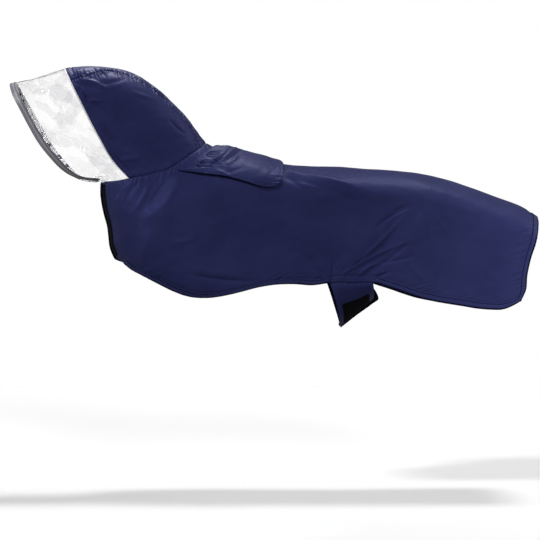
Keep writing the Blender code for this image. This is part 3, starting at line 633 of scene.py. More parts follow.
def on_panel(ribs_at, places_at):
    """The panel's creased points, directions, heights and edge lengths at ribs and places."""
    points, out, side_view, edges = finer(body_form, ribs_at, places_at)
    from_neck, from_rear, from_left, from_right = edges
    from_hem = np.minimum(from_left, from_right)
    above = np.maximum(from_hem - BINDING_TOP, 0)
    rise = both_sides(points, side_view, BODY_CREASES, 5) * ease(np.abs(points[..., 1]), 6, 30)
    rise += 0.3 * ripple(points, 55, 3) * ease(from_hem, 4, 30)
    rise += 0.25 * ripple(points, 21, 4) * ease(from_hem, 4, 20)
    rise += gathers(from_left, from_neck, 10.5, 15, 1.2, 11)
    rise += gathers(from_neck + 0.6 * above, above, 16.0, 17, 0.5, 12)
    rise += gathers(from_neck, above, 7.5, 9, 0.35, 14)
    rise += gathers(from_left, np.maximum(from_rear - BINDING_TOP, 0), 10.0, 15, 0.8, 13)
    rise += groove(from_neck, 0, 1.6, 2.4) + groove(from_neck, NECK_STITCHES)
    rise += groove(from_hem, ABOVE_BINDING, 0.8, 2.6) + groove(from_rear, ABOVE_BINDING, 0.8, 2.6)
    return points + rise[..., None] * out, out, rise, edges


# The grid is finest on the left side, over the strap and the hip, where most creases lie.
panel_ribs = shares((0, 1, 10), (1, 8, 42), (8, 12, 36), (12, 18, 36), (18, 22, 56), (22, 32, 90),
                    (32, LAST_RIB - 1, 34), (LAST_RIB - 1, LAST_RIB, 6))
panel_places = shares((0, 1, 6), (1, SPINE_PLACE, 8 * (SPINE_PLACE - 1)),
                      (SPINE_PLACE, LAST_PLACE - 1, 5 * (SPINE_PLACE - 1)),
                      (LAST_PLACE - 1, LAST_PLACE, 6))
panel, panel_out, panel_rise, panel_edges = on_panel(panel_ribs, panel_places)
back = cloth("back_panel", panel, panel_out, panel_rise, step=2)


# Front closure: hook-and-loop tape sewn down both front edges, loop outside on the left one and
# hook inside the right one. Woven nylon with a short matt pile, so its face is ragged.

CLOSURE_TAPE, LAY_GAP, PILE = 1.2, 0.45, 0.35

# Ribs and places of the panel between which the strips lie, and their heights on the cloth:
# the hook strip lies on the loop strip.
CLOSURE_RIBS, EDGE_PLACE, LOOP_PLACE, HOOK_PLACE = (0.28, BODY_COLUMNS[0] - 0.1), 0.02, 2.45, 0.38
ON_CLOTH, ON_LOOP = LAY_GAP, 2 * LAY_GAP + CLOSURE_TAPE

# A matt, near black nylon pile with a faint sheen. Its tufts are drawn 2 mm wide, because the
# real loops and hooks of 0.3 mm are too fine to see.
pile_tape = new_material("hook_and_loop_nylon_pile", Roughness=0.95, Specular_IOR_Level=0.15,
                         Sheen_Weight=0.12, Sheen_Roughness=0.6, Sheen_Tint=linear("#3c3c46"))
fuzz = add(pile_tape, "TexNoise", {"Vector": add(pile_tape, "TexCoord", {}, "Object"),
                                   "Scale": 520.0, "Detail": 3.0})
finish(pile_tape, Base_Color=add(pile_tape, "ValToRGB", {"Fac": fuzz},
                                 stops=((0.3, "#050506"), (0.75, "#15151a"))),
       Normal=add(pile_tape, "Bump", {"Height": fuzz, "Strength": 0.9, "Distance": 0.0008}))


def pile(name, node, base, out, lift, seed):
    """A strip of tape on the cloth, whose face stands up in a random pile, a tuft a point."""
    low = base + lift * out
    tufts = np.random.default_rng(seed).uniform(-1, 1, low.shape[:2])
    edge = np.ones(low.shape[:2], bool)
    edge[1:-1, 1:-1] = False
    top = low + (CLOSURE_TAPE + PILE * np.where(edge, 0.3 * tufts, tufts))[..., None] * out
    sideways = np.zeros(low.shape[:2])
    sideways[:, 0], sideways[:, -1] = -tufts[:, 0], tufts[:, -1]
    top = top + 0.5 * sideways[..., None] * unit(np.gradient(low, axis=1))
    return piece(shell(name, top, low), pile_tape, "black_hook_and_loop", node)


closure = [pile(f"chest_{kind}_pile", f"chest_{kind}_strip",
                *on_panel(shares((*CLOSURE_RIBS, 90)), shares((EDGE_PLACE, last, columns)))[:2],
                lift, seed)
           for kind, last, columns, lift, seed in (("loop", LOOP_PLACE, 15, ON_CLOTH, 21),
                                                   ("hook", HOOK_PLACE, 5, ON_LOOP, 22))]


# Hood: two shaped sides and a centre strip of the same nylon, joined by seams that pucker and
# sewn into the neck. The front is turned under in a 10 mm band. All three follow the head form.

# Side view of the front edge and of the seams beside the centre strip.
FRONT_SEAM = (
    (-322, 161), (-315, 147), (-308, 134), (-287, 93), (-268, 55), (-249, 20), (-233, -8),
    (-215, -30), (-201, -45))
CENTRE_SEAM = (
    (-308, 134), (-299, 138), (-285, 140), (-263, 148), (-250, 151.5), (-230, 152), (-209, 147),
    (-185, 137), (-160, 121), (-135, 100), (-110, 75), (-90, 49), (-79, 29), (-72, 12.5))
HOOD_CORNER = (-128, -27)
HOOD_COLUMNS, HOOD_SIDE_ROWS, HOOD_CENTRE_ROWS = 20, 12, 4
BAND_WIDTH, BAND_RISE = 10.0, 0.4

# Creases of the hood's left side and of its top, as in the back panel's table.
HOOD_CREASES = (
    (-294, 134, -242, 118, 4, 2.5, 5.8), (-296, 127, -253, 113, 2, 2.2, -4.5),
    (-274, 96, -247, 94, 0, 2.5, 4), (-291, 104, -267, 91, 0, 2.2, 2.9),
    (-302, 129, -293, 111, 0, 2.2, 3.1), (-285, 111, -271, 94, 0, 2.2, -3.1),
    (-282, 104, -253, 78, 0, 2.5, -2.5), (-264, 75, -224, 24, -4, 3.7, 3.8),
    (-245, 53, -202, 6, -2, 7, -3), (-235, 9, -202, -23, 0, 3.1, 2.9),
    (-162, 6, -126, -23, 0, 3.1, -2), (-220, 96, -162, 46, -9, 14, -1.4),
    (-198, 114, -144, 96, -2, 3.7, 2), (-129, 64, -97, 35, -2, 2.5, -2.5),
    (-216, -12, -180, -9, 0, 2.5, 2), (-260, 125, -209, 136, -2, 3.1, -2.2),
    (-180, 60, -133, 6, 7, 12, 1.7))
TOP_CREASES = (
    (-311, 140, -289, 155, 0, 2.5, 2.1), (-300, 136, -267, 157, 0, 2.5, -1.9),
    (-278, 148, -256, 142, 0, 2.2, 1.8), (-249, 157, -223, 153, 0, 2.5, 1.5),
    (-154, 120, -135, 103, 0, 2.2, 1.9), (-132, 98, -110, 74, 0, 2.2, -1.8),
    (-110, 74, -86, 43, 0, 2.2, 1.9), (-205, 149, -172, 129, 0, 2.5, -1.3))

front_seam, centre_seam = smooth_line(FRONT_SEAM), smooth_line(CENTRE_SEAM)
brow = front_seam[0]
hood_columns = shares((0, 1, 12), (1, 2, 10), (2, HOOD_COLUMNS, 10 * (HOOD_COLUMNS - 2)))
hood_seams = []


def hood_part(node, form, places, creases, seams, seed):
    """A part of the hood on its form: creases, gathers and dips at its seams, and the band.

    Seams is how many of its long edges are centre seams, which pucker most, from the start.
    """
    points, out, side_view, edges = finer(form, hood_columns, places)
    from_front, from_start = edges[0], edges[2]
    from_seams, from_centre = edges[1:].min(axis=0), edges[2:2 + seams].min(axis=0)
    rise = both_sides(points, side_view, creases, seed, 7)
    rise += 0.4 * ripple(points, 38, seed + 1) + 0.22 * ripple(points, 15, seed + 2)
    rise *= ease(from_seams, 0, 6)
    rise += gathers(from_front, from_centre, 7, 11, 3.0, seed + 3)
    rise += gathers(from_front, from_centre, 5, 6, 1.3, seed + 6)
    rise += gathers(from_front, from_seams, 8.5, 9, 0.4, seed + 5)
    rise += groove(from_seams, 0, 1.6, 2.2) + groove(from_front, BAND_WIDTH, 1.1, 1.7)
    rise += BAND_RISE * (1 - ease(from_front, BAND_WIDTH - 0.8, BAND_WIDTH + 0.8))
    rise += gathers(from_start, np.abs(from_front - BAND_WIDTH) + 3, 8, 9, 0.9, seed + 4)
    points = points + rise[..., None] * out
    hood_seams.append((edges, points, out))
    return cloth(node, points, out, rise)


# Each side fills the space between the front, centre and neck seams as a Coons patch.
u, v = np.linspace(0, 1, HOOD_COLUMNS + 1), np.linspace(0, 1, HOOD_SIDE_ROWS + 1)
foot = stretch(neck_line, front_seam[-1], HOOD_CORNER)
side_view = patch(along(centre_seam, u), along(foot, u),
                  stretch(front_seam, centre_seam[0], front_seam[-1]),
                  stretch(neck_line, centre_seam[-1], HOOD_CORNER), u, v)
side_places = shares((0, 1, 8), (1, HOOD_SIDE_ROWS - 1, 6 * (HOOD_SIDE_ROWS - 2)),
                     (HOOD_SIDE_ROWS - 1, HOOD_SIDE_ROWS, 8))
for side, node, seed in ((LEFT, "hood_side_left", 31), (RIGHT, "hood_side_right", 41)):
    hood_side = hood_part(node, form_grid(*on_coat(side_view, side), side_view), side_places,
                          HOOD_CREASES, 1, seed)


def both_halves(side_view, **settings):
    """Points, outward directions and side view of the coat on both sides of a half's view."""
    return joined(*((*on_coat(side_view, side, **settings), side_view) for side in (LEFT, RIGHT)))


# The centre strip runs over the middle from one side to the other, brow to nape.
ridge_shares = np.linspace(share_at(ridge_line, brow), share_at(ridge_line, nape),
                           HOOD_COLUMNS + 1)
v = np.linspace(0, 1, HOOD_CENTRE_ROWS + 1)**2
side_view = patch(along(ridge_line, ridge_shares), along(centre_seam, u),
                  stretch(front_seam, brow, centre_seam[0]),
                  stretch(neck_line, nape, centre_seam[-1]), u, v)
hood_top = hood_part("hood_centre", form_grid(*both_halves(side_view)),
                     shares((0, 2 * HOOD_CENTRE_ROWS, 14 * HOOD_CENTRE_ROWS)), TOP_CREASES, 2, 51)


# Peak: clear soft PVC film sewn inside the hood's front band, from the throat over the brow. It
# is 0.3 mm thick in life and holds crumples and long bows that catch the light as white glare.

# Side view of its free edge, which the tape binds this far in, and how far the edge is lifted
# above the throat.
PEAK_EDGE = (
    (-424, 133), (-415, 110), (-400, 82), (-383, 50), (-362, 15), (-346, -5), (-331, -22),
    (-317, -34), (-302, -42), (-279, -47), (-253, -49))
FILM_WALL, PEAK_BOUND_EDGE, PEAK_THROAT_RISE = 0.4, 11.3, 150.0
SEAM_GAP, FILM_LOWER = 0.4, 0.6

# Each rib's rows: close together over the brow, even down the side, close again at the throat,
# with these shares of the rib to the first and the last run. Then the ribs that the turned
# edge takes, and the first place along the film of that edge and of the tape.
FILM_TOP_SHARE, FILM_THROAT_SHARE, FILM_RUN = 0.24, 0.32, 6
TURNED_RIBS, TURNED_FROM, TAPE_FROM = 0.12, 0.4, 1.6

# Creases of the film's left side, as in the back panel's table.
FILM_CREASES = (
    (-352, 40, -335, 128, 7, 6, 2.2), (-372, 62, -360, 128, 5, 5, -1.8),
    (-395, 100, -372, 136, 2, 6, 1.6), (-330, 20, -300, 78, -5, 6, 1.8),
    (-320, -18, -262, 12, 4, 6, -1.8), (-302, 40, -276, 70, 2, 5, 1.5),
    (-345, 5, -300, 20, 3, 5, 1.6), (-262, -46, -240, -2, 2, 4, 2.2),
    (-300, -38, -256, -30, 0, 5, 1.3), (-340, 135, -322, 90, -4, 5, 1.5))

# Clear soft PVC, glossy and smooth. Its IOR is matched down from 1.54, because a sheet this
# thin hardly bends the light. Two sets of flat facets lie between its folds, 20 to 70 mm long;
# some are tinted a little greyer as painted shade of the crumpled film, with fine clear lines
# between them as painted glints along its folds; the second set stands up in bumps.
film_stuff = new_material("clear_soft_pvc_film", Roughness=0.03, IOR=1.3,
                          Transmission_Weight=1.0)
where = add(film_stuff, "TexCoord", {}, "Object")
drift = add(film_stuff, "TexNoise", {"Vector": where, "Scale": 26.0, "Detail": 3.0}, "Color")
shifted = add(film_stuff, "MixRGB", {"Fac": 0.035, "Color1": where, "Color2": drift})
painted_facet_shades = []
for turn, sizes in (((0.0, 0.6, 0.0), (0.022, 0.03, 0.07)),
                    ((0.0, -0.9, 0.2), (0.018, 0.03, 0.06))):
    there = {"Vector": add(film_stuff, "Mapping", {"Vector": shifted, "Rotation": turn,
                                                   "Scale": sizes}, vector_type="TEXTURE"),
             "Scale": 1.0}
    facet = add(film_stuff, "TexVoronoi", there, "Color")
    level = add(film_stuff, "SeparateXYZ", {"Vector": facet}, "X")
    painted_glint_border = add(film_stuff, "TexVoronoi", there, "Distance", feature="DISTANCE_TO_EDGE")
    line = add(film_stuff, "Math", {0: painted_glint_border, 1: 0.03}, operation="GREATER_THAN")
    level = add(film_stuff, "Math", {0: level, 1: line}, operation="MULTIPLY")
    # Facets tinted greyer are painted shade of the crumpled film; the untinted lines at their
    # borders are painted glints.
    painted_facet_shades.append(add(film_stuff, "ValToRGB", {"Fac": level},
                      stops=((0.5, "#ffffff"), (0.75, "#f3f3f4"))))
finish(film_stuff,
       Base_Color=add(film_stuff, "MixRGB", {"Fac": 1.0, "Color1": painted_facet_shades[0],
                                             "Color2": painted_facet_shades[1]}, blend_type="MULTIPLY"),
       Normal=add(film_stuff, "Bump", {"Height": facet.node.outputs["Distance"],
                                       "Strength": 0.5, "Distance": 0.0016}))

# The film's ribs stand from the front seam to the free edge, the last but one where the tape
# starts. Each runs from the ridge down to the throat.
turned_under = 1 - FOOT_SHARE * (1 - np.cos(foot_turns(0.0)))
throat_shares = np.concatenate([[share_at(neck_line, front_seam[-1])], turned_under[:4], [1.0]])
FILM_RIBS = len(throat_shares) - 1
u = np.append(np.linspace(0, 1 - PEAK_BOUND_EDGE / np.linalg.norm(brow - ridge_line[0]),
                          FILM_RIBS), 1)
down = np.concatenate([
    FILM_TOP_SHARE * (1 - np.cos(np.linspace(0, np.pi / 2, FILM_RUN + 1))),
    np.linspace(FILM_TOP_SHARE, 1 - FILM_THROAT_SHARE, FILM_RUN + 1)[1:],
    1 - FILM_THROAT_SHARE * (1 - np.cos(np.linspace(np.pi / 2, 0.03, FILM_RUN + 1)))[1:]])
side_view = patch(along(ridge_line, share_at(ridge_line, brow) * (1 - u)),
                  along(neck_line, throat_shares), front_seam, smooth_line(PEAK_EDGE), u, down)
side_view[..., 1] += (PEAK_THROAT_RISE * (1 - u[:, None]) * u[:, None]**8
                      * ease(down[None], 0.75, 0.95) * ease(1 - down[None], 0, 0.03))
film_points, *film_rest = both_halves(side_view, lap_way=(-1, 0, 0))
film_points[:, [0, -1]] += SEAM_GAP / 2 * unit(film_points[:, [1, -2]] - film_points[:, [0, -1]])
film_form = form_grid(film_points, *film_rest)
FILM_LAST = 2 * (len(down) - 1)


def on_film(ribs_at, places_at):
    """The film's crumpled outer points and outward directions at ribs and places."""
    points, out, side_view, edges = finer(film_form, ribs_at, places_at)
    rise = both_sides(points, side_view, FILM_CREASES, 63, 8)
    rise += 0.7 * ripple(points, 30, 61) + 0.3 * ripple(points, 13, 62)
    rise *= ease(edges[:2].min(axis=0), 0, 10) * ease(edges[2:].min(axis=0), 4, 25)
    return points + (rise - FILM_LOWER)[..., None] * out, out


film, film_out = on_film(shares((0, FILM_RIBS, 9 * FILM_RIBS)),
                         shares((0, FILM_LAST, 7 * FILM_LAST)))
peak = piece(shell("peak_film_sheet", film, film - FILM_WALL * film_out), film_stuff,
             "clear_film", "peak_film")

# The film's turned edge shows as a narrow white line along the hood's band: a satin white
# strip painted as the glare where the film lies double and its cut scatters the light.
turned, turned_out = on_film(shares((0, TURNED_RIBS, 2)),
                             shares((TURNED_FROM, FILM_LAST - TURNED_FROM, 260)))
film_hem = piece(shell("peak_film_turned_edge", turned + 1.5 * turned_out,
                       turned + 0.7 * turned_out),
                 new_material("turned_pvc_film_edge_painted_glare", Base_Color=linear("#f0f0f4"),
                              Roughness=0.35), "clear_film")


# Peak tape: silver-grey reflective tape folded over the film's free edge and topstitched. Tiny
# glass beads give it a dull metal look with a lighter line along its middle.

PEAK_TAPE, PEAK_TAPE_WIDTH, PEAK_TAPE_ENDS = 0.8, 10.5, 0.5
TAPE_GAP, EDGE_STEPS = 0.15, 5

# Places across the tape from its stitched edge to its fold, as shares of its width, and how
# thick it is there. Then turns round the fold.
TAPE_PLACES = np.array([1, 0.985, 0.93, 0.75, 0.55, 0.35, 0.16, 0.05])
TAPE_FULL = np.array([0.35, 0.8, 1, 1, 1, 1, 1, 1])[:, None]
FOLD_TURNS = np.radians([72, 36, 0, -36, -72])[:, None]


def edge_profile(grid, out, first, last, depth, start=True, rear=False):
    """Points from a grid's edge inwards, for each station along it, and their directions.

    The edge runs down the start column from first to last. With rear it goes on across the
    last row and back up the end column, mitred at both corners.
    """
    inwards = np.arange(depth + 1)
    row = np.arange(first, last + 1)[:, None]
    top, end = grid.shape[0] - 1, grid.shape[1] - 1
    if rear:
        row = np.minimum(row, top - inwards)
        across = np.clip(np.arange(1, end)[:, None], inwards, end - inwards)
        rows = np.concatenate([row, np.broadcast_to(top - inwards, across.shape), row[::-1]])
        columns = np.concatenate([np.broadcast_to(inwards, row.shape), across,
                                  np.broadcast_to(end - inwards, row.shape)])
    else:
        rows, columns = np.broadcast_arrays(row, inwards if start else end - inwards)
    return grid[rows, columns], out[rows, columns]


def read_in(profile, places):
    """An edge profile's values at places counted in its own steps, by straight lines.

    The places are the same at each station, or a row of them is given for each.
    """
    places = np.broadcast_to(places, (len(profile), places.shape[-1]))
    low = np.minimum(places.astype(int), profile.shape[1] - 2)
    station, share = np.arange(len(profile))[:, None], (places - low)[..., None]
    return profile[station, low] * (1 - share) + profile[station, low + 1] * share


def tape_share(stations, ends):
    """Share of its width that a tape has at its stations: this much at its ends."""
    half_run = np.abs(np.linspace(-1, 1, stations))[:, None]
    return 1 - (1 - ends) * ease(half_run, 0.74, 0.92)


def tube_faces(number):
    """Faces between rings of numbered points, each joined to the next ring and round to itself."""
    after = np.roll(number, -1, axis=-1)
    return np.stack([number[..., :-1, :], number[..., 1:, :], after[..., 1:, :],
                     after[..., :-1, :]], -1).reshape(-1, 4)


def folded_tape(name, profile, out, reach, width, wall, thick, ends=1.0):
    """Tape folded over an edge: flat on both faces, half round over the edge, as one hairpin.

    The profile reaches this far in from the edge, and the wall lies inside the fold. The tape
    has this share of its width at its ends, narrowing over the last part of each half.
    """
    inwards = TAPE_PLACES * width
    places = inwards * tape_share(len(profile), ends) / reach * (profile.shape[1] - 1)
    base, up = read_in(profile, places), read_in(out, places)
    edge, edge_up = profile[:, :1], out[:, :1]
    beyond = unit(edge - profile[:, 1:2])

    def loop(rise, radius):
        """Up one face, round the fold as a circle about the wall's middle, and down the other."""
        top = base + rise * up
        fold = edge - wall / 2 * edge_up + radius * (np.sin(FOLD_TURNS) * edge_up
                                                     + np.cos(FOLD_TURNS) * beyond)
        sole = base[:, ::-1] - (wall + np.flip(rise, 0)) * up[:, ::-1]
        return np.concatenate([top, fold, sole], axis=1)

    outer = loop(TAPE_GAP + thick * TAPE_FULL, wall / 2 + TAPE_GAP + thick)
    inner = loop(TAPE_GAP * np.ones_like(TAPE_FULL), wall / 2 + TAPE_GAP)
    sections = np.concatenate([outer, inner[:, ::-1]], axis=1)
    stations, around = sections.shape[:2]
    number = np.arange(stations * around).reshape(stations, around)
    half = np.arange(around // 2 - 1)
    cap = np.stack([half, half + 1, around - 2 - half, around - 1 - half], -1)
    quads = np.concatenate([tube_faces(number), number[0][cap], number[-1][cap[:, ::-1]]])
    turns = len(FOLD_TURNS)
    across = np.concatenate([width - inwards, width + np.arange(1, turns + 1),
                             width + turns + 1 + inwards[::-1]])
    across = np.concatenate([across, across[::-1]])
    spread = np.stack(np.broadcast_arrays(lengths(profile[:, 0])[:, None], across), axis=-1)
    return closed(name, sections.reshape(-1, 3), [quads], spread.reshape(-1, 2))


def off_middle(material, across, middle, near, far):
    """From 0 to 1 as the distance from a tape's middle goes from near to far."""
    off = add(material, "Math", {0: across, 1: middle}, operation="SUBTRACT")
    off = add(material, "Math", {0: off}, operation="ABSOLUTE")
    return add(material, "MapRange", {"Value": off, "From Min": near, "From Max": far})


# The tape's outside is grey with a lighter line 2 mm wide along its middle. Its inside, seen
# through the film, is pale with grey patches. The beads are drawn about
# 1 mm apart, because the real ones of 0.06 mm are too fine to see.
reflective = new_material("glass_bead_reflective_tape", Metallic=0.25, Roughness=0.42)
where = add(reflective, "TexCoord", {}, "Object")
across_tape = add(reflective, "SeparateXYZ", {"Vector": where.node.outputs["UV"]}, "Y")
outside = add(reflective, "ValToRGB", {"Fac": off_middle(reflective, across_tape, 0.0052, 0.0006,
                                                         0.0014)},
              stops=((0.0, "#b4b4bc"), (1.0, "#8f8f98")))
backing_grey_patches = add(reflective, "TexNoise", {"Vector": where, "Scale": 95.0, "Detail": 2.0})
backing = add(reflective, "ValToRGB", {"Fac": backing_grey_patches}, stops=((0.41, "#5a5a62"), (0.46, "#f0f0f4")))
is_inside = add(reflective, "Math", {0: across_tape, 1: 0.0135}, operation="GREATER_THAN")
beads = add(reflective, "TexNoise", {"Vector": where, "Scale": 900.0})
finish(reflective, Base_Color=add(reflective, "MixRGB", {"Fac": is_inside, "Color1": outside,
                                                         "Color2": backing}),
       Normal=add(reflective, "Bump", {"Height": beads, "Strength": 0.3, "Distance": 0.0002}))

film_edge = on_film(shares((FILM_RIBS - 1, FILM_RIBS, EDGE_STEPS)),
                    shares((TAPE_FROM, FILM_LAST - TAPE_FROM, 260)))
tape_profile = [grid[::-1].swapaxes(0, 1) for grid in film_edge]
tape = piece(folded_tape("peak_reflective_tape", *tape_profile, PEAK_BOUND_EDGE, PEAK_TAPE_WIDTH,
                         FILM_WALL, PEAK_TAPE, PEAK_TAPE_ENDS), reflective, "reflective_tape",
             "peak_tape")


# Hem bindings: bias-cut nylon tape folded over the raw hem and topstitched through, one length
# in front of each belly strap and one from strap to strap round the rear. It lies a little
# proud of the cloth and puckers where the stitches draw it.

BINDING_WIDTH, BINDING_TAPE, BINDING_STEPS = 11.0, 0.7, 6
PUCKER_PITCH, PUCKER_REACH, PUCKER_PLACE, PUCKER_HEIGHT = 7.5, 9, 3.0, 0.3

# The same nylon, with painted shade: the tape's stitched edge and its fold are painted darker
# than its flat face, standing for the shadow lines at the edge and over the turn.
binding = nylon.copy()
binding.name = "nylon_bias_tape_painted_edge_shade"
across_tape = add(binding, "SeparateXYZ", {"Vector": add(binding, "TexCoord", {}, "UV")}, "Y")
# Painted shade: the ramp darkens the tape towards its stitched edge and its fold.
finish(binding, Base_Color=add(
    binding, "ValToRGB", {"Fac": off_middle(binding, across_tape, 0.0050, 0.0028, 0.0045)},
    stops=((0.0, "#30345f"), (1.0, "#0c0e20"))))


def at_rib(rib):
    """Row of the panel's fine grid that holds this rib."""
    return int(np.searchsorted(panel_ribs, rib - 1e-6))


front_rows = at_rib(BODY_COLUMNS[0] + 2) + 1, at_rib(STRAP_RIBS[0]) - 1
rear_rows = at_rib(STRAP_RIBS[1]) + 1, len(panel) - 1
hem_profiles = [edge_profile(panel, panel_out, *front_rows, BINDING_STEPS),
                edge_profile(panel, panel_out, *front_rows, BINDING_STEPS, start=False),
                edge_profile(panel, panel_out, *rear_rows, BINDING_STEPS, rear=True)]
for node, seed, (profile, out) in zip(("hem_binding_front_left", "hem_binding_front_right",
                                       "hem_binding_rear"), (71, 72, 73), hem_profiles):
    run = lengths(profile[:, 0])
    wave = gathers(run, np.full_like(run, PUCKER_PLACE), PUCKER_PITCH, PUCKER_REACH,
                   PUCKER_HEIGHT, seed)
    piece(folded_tape(node + "_tape", profile + wave[:, None, None] * out, out,
                                      BOUND_EDGE, BINDING_WIDTH, CLOTH_WALL, BINDING_TAPE),
                          binding, "navy_binding", node)


# Back flap: a shaped piece of nylon that hides the lead opening over the withers. It is sewn
# down along its front, puffs up off the back and lies free behind, with a stitched edge.

# Side view of its left half's edges.
FLAP_FRONT = ((-49, 16.5), (-55, 9), (-67, -10), (-83, -24), (-112, -32))
FLAP_REAR = ((72, -14.5), (78, -20), (80, -32), (78, -46), (73, -57), (64, -63.5))
FLAP_LOW = (
    (-112, -32), (-67, -40), (-27, -45.5), (5, -53), (33, -60.5), (50, -64), (64, -63.5))
FLAP_COLUMNS, FLAP_ROWS = 10, 9
FLAP_FRONT_HEIGHT, FLAP_PUFF, FLAP_REAR_DROP, FLAP_LOW_DROP = 2.6, 6.0, 2.6, 1.5

# Creases of the flap, as in the back panel's table.
FLAP_CREASES = (
    (-61, -27, -24, -3, -2, 3.1, 4.5), (-50, -32, -15, 4, 0, 3.1, -3.9),
    (-37, -25, -6, 8, 0, 3.1, 4.2), (-24, -21, 6, 10, -2, 3.1, -3),
    (-79, -32, -61, -8, 0, 2.5, 3), (-90, -30, -75, -17, 0, 2.5, -2.7),
    (1, -23, 48, -36, -4, 8, 1.3), (26, -45, 66, -32, 4, 8, -1.1),
    (-46, -37, -14, -48, 2, 3.1, 2.4), (-97, -32, -57, -32, 0, 2.5, 1.6),
    (-72, -17, -46, 6, 0, 2.5, -1.9), (-21, -27, -3, -8, -2, 3.1, 2.1),
    (-3, 3, 52, -12, 2, 3.7, 1.2), (48, -48, 72, -27, 0, 3.1, -0.7),
    (-79, -28, -64, -8, 0, 2.2, 2.1), (-32, -43, 19, -27, -2, 3.7, -1.3))

u, down = np.linspace(0, 1, FLAP_COLUMNS + 1), np.linspace(0, 1, FLAP_ROWS + 1)**1.45
start, end = (share_at(ridge_line, edge[0]) for edge in (FLAP_FRONT, FLAP_REAR))
side_view = patch(along(ridge_line, start + (end - start) * u), along(smooth_line(FLAP_LOW), u),
                  smooth_line(FLAP_FRONT), smooth_line(FLAP_REAR), u, down)
from_sewn = u[:, None]
height = (FLAP_FRONT_HEIGHT + FLAP_PUFF * ease(from_sewn, 0, 0.22)
          - FLAP_REAR_DROP * ease(from_sewn, 0.72, 1.0)
          - FLAP_LOW_DROP * down * ease(from_sewn, 0, 0.3))
flap_form = form_grid(*both_halves(side_view, lift=height))
points, out, side_view, flap_edges = finer(
    flap_form, shares((0, FLAP_COLUMNS, 8 * FLAP_COLUMNS)),
    shares((0, 2 * FLAP_ROWS, 16 * FLAP_ROWS)))
from_front, from_rear, from_left, from_right = flap_edges
from_low = np.minimum(from_left, from_right)
rise = (both_sides(points, side_view, FLAP_CREASES, 81, 6)
        * ease(np.abs(points[..., 1]), 2, 16))
rise += ((0.4 * ripple(points, 48, 82)
          + 0.35 * ripple(points, 14, 86) * (1 - ease(from_front, 40, 90)))
         * ease(from_low, 3, 15))
rise += gathers(from_left, from_front, 7.5, 24, 2.6, 83) + groove(from_front, 0, 1.6, 3.0)
rise += gathers(from_left, from_rear, 9.0, 13, 0.8, 84) + groove(from_rear, 5.0)
rise += gathers(from_front, from_low, 11.0, 8, 0.4, 85) + groove(from_low, 5.0)
flap_points, flap_out = points + rise[..., None] * out, out
flap = cloth("back_flap", flap_points, out, rise)


# Belly straps: two short nylon straps sewn to the hem that lap under the belly. The left one
# carries a loop patch outside, the right one a hook patch inside, pressed together.

# Side view of their ends under the belly, how far the right one's rear edge bulges back, and
# how far it stands off the left one where they lap.
STRAP_MIDDLE_FRONT, STRAP_MIDDLE_REAR = np.array([184, -316]), np.array([245, -266])
RIGHT_STRAP_BULGE, STRAP_LIFT, STRAP_LIFT_TURNS = 14.0, 5.2, np.radians((12, 50))
STRAP_TURNS = {LEFT: np.radians(108), RIGHT: np.radians(87) - 0.1}
LOOP_PATCH_TURNS, HOOK_PATCH_TURNS = np.radians((33, 104)), np.radians((66, 111))
PATCH_EDGES = 0.14, 0.86
TUCK, TUCK_TURN = 1.6, 0.12


def strap_points(side, turn, breadth, lift=0.0):
    """Points of a belly strap; turn runs from 0 at the hem to 90 degrees under the belly.

    Each line across it goes round as the cosine of the turn times its half-breadth at the hem,
    and down as the sine of the turn.
    """
    first, last = share_at(foot_line, STRAP_TOP_FRONT), share_at(foot_line, STRAP_TOP_REAR)
    top = along(foot_line, first + (last - first) * breadth) - (0, SEAM_GAP)
    half = np.abs(on_coat(top, side)[0][:, 1])
    middle = STRAP_MIDDLE_FRONT + (STRAP_MIDDLE_REAR - STRAP_MIDDLE_FRONT) * breadth[:, None]
    down = np.sin(turn)[:, None]
    bulge = RIGHT_STRAP_BULGE if side == RIGHT else 0.0
    aside = bulge * np.sin(2 * np.clip(turn, 0, np.pi / 2))[:, None] * breadth**2
    x = top[:, 0] + aside + (middle[:, 0] - top[:, 0]) * (1.45 * down - 0.45 * down**2)
    z = top[:, 1] + (middle[:, 1] - top[:, 1]) * down
    points = np.stack([x, side * half * np.cos(turn)[:, None], z], axis=-1)
    out = unit(np.cross(np.gradient(points, axis=1), np.gradient(points, axis=0)) * side)
    return points + out * lift, out


straps, strap_forms = [], []
for side, node, lift, seed in ((LEFT, "belly_strap_left", 0.0, 91),
                               (RIGHT, "belly_strap_right", STRAP_LIFT, 93)):
    turn = np.linspace(-0.05, STRAP_TURNS[side], 80)
    lift = (lift * ease(turn, *STRAP_LIFT_TURNS) - TUCK * (1 - ease(turn, 0, TUCK_TURN)))
    points, out = strap_points(side, turn, np.linspace(0, 1, 41), lift[:, None, None])
    edges = np.moveaxis(form_grid(points, out, points[..., :2])[..., 8:], -1, 0)
    near = edges[2:].min(axis=0)
    rise = 0.55 * ripple(points, 26, seed) * ease(near, 2, 12) + groove(near, 4.0, 0.3)
    rise += gathers(edges[2], edges[0], 9.0, 22, 0.8, seed + 1)
    points = points + rise[..., None] * out
    straps.append(cloth(node, points, out, rise))
    strap_forms.append((edges, points, out))

across_strap = np.linspace(*PATCH_EDGES, 60)
patches = [pile(f"belly_{kind}_pile", f"belly_{kind}_patch",
                *strap_points(LEFT, turn, across_strap), lift, seed)
           for kind, turn, lift, seed in (
               ("loop", np.linspace(*LOOP_PATCH_TURNS, 110), ON_CLOTH, 95),
               ("hook", np.pi - np.linspace(*HOOK_PATCH_TURNS, 70), ON_LOOP, 96))]


# Stitches: navy polyester thread in lockstitch 3.2 mm long. Rows run beside the neck seam, both
# centre seams and the hood's band, along every binding and round the flap, where the thread
# catches the light.

STITCH_PITCH, STITCH_LENGTH, THREAD_RADIUS = 3.2, 2.5, 0.33
BINDING_STITCHES, PEAK_STITCHES = 8.8, 8.6

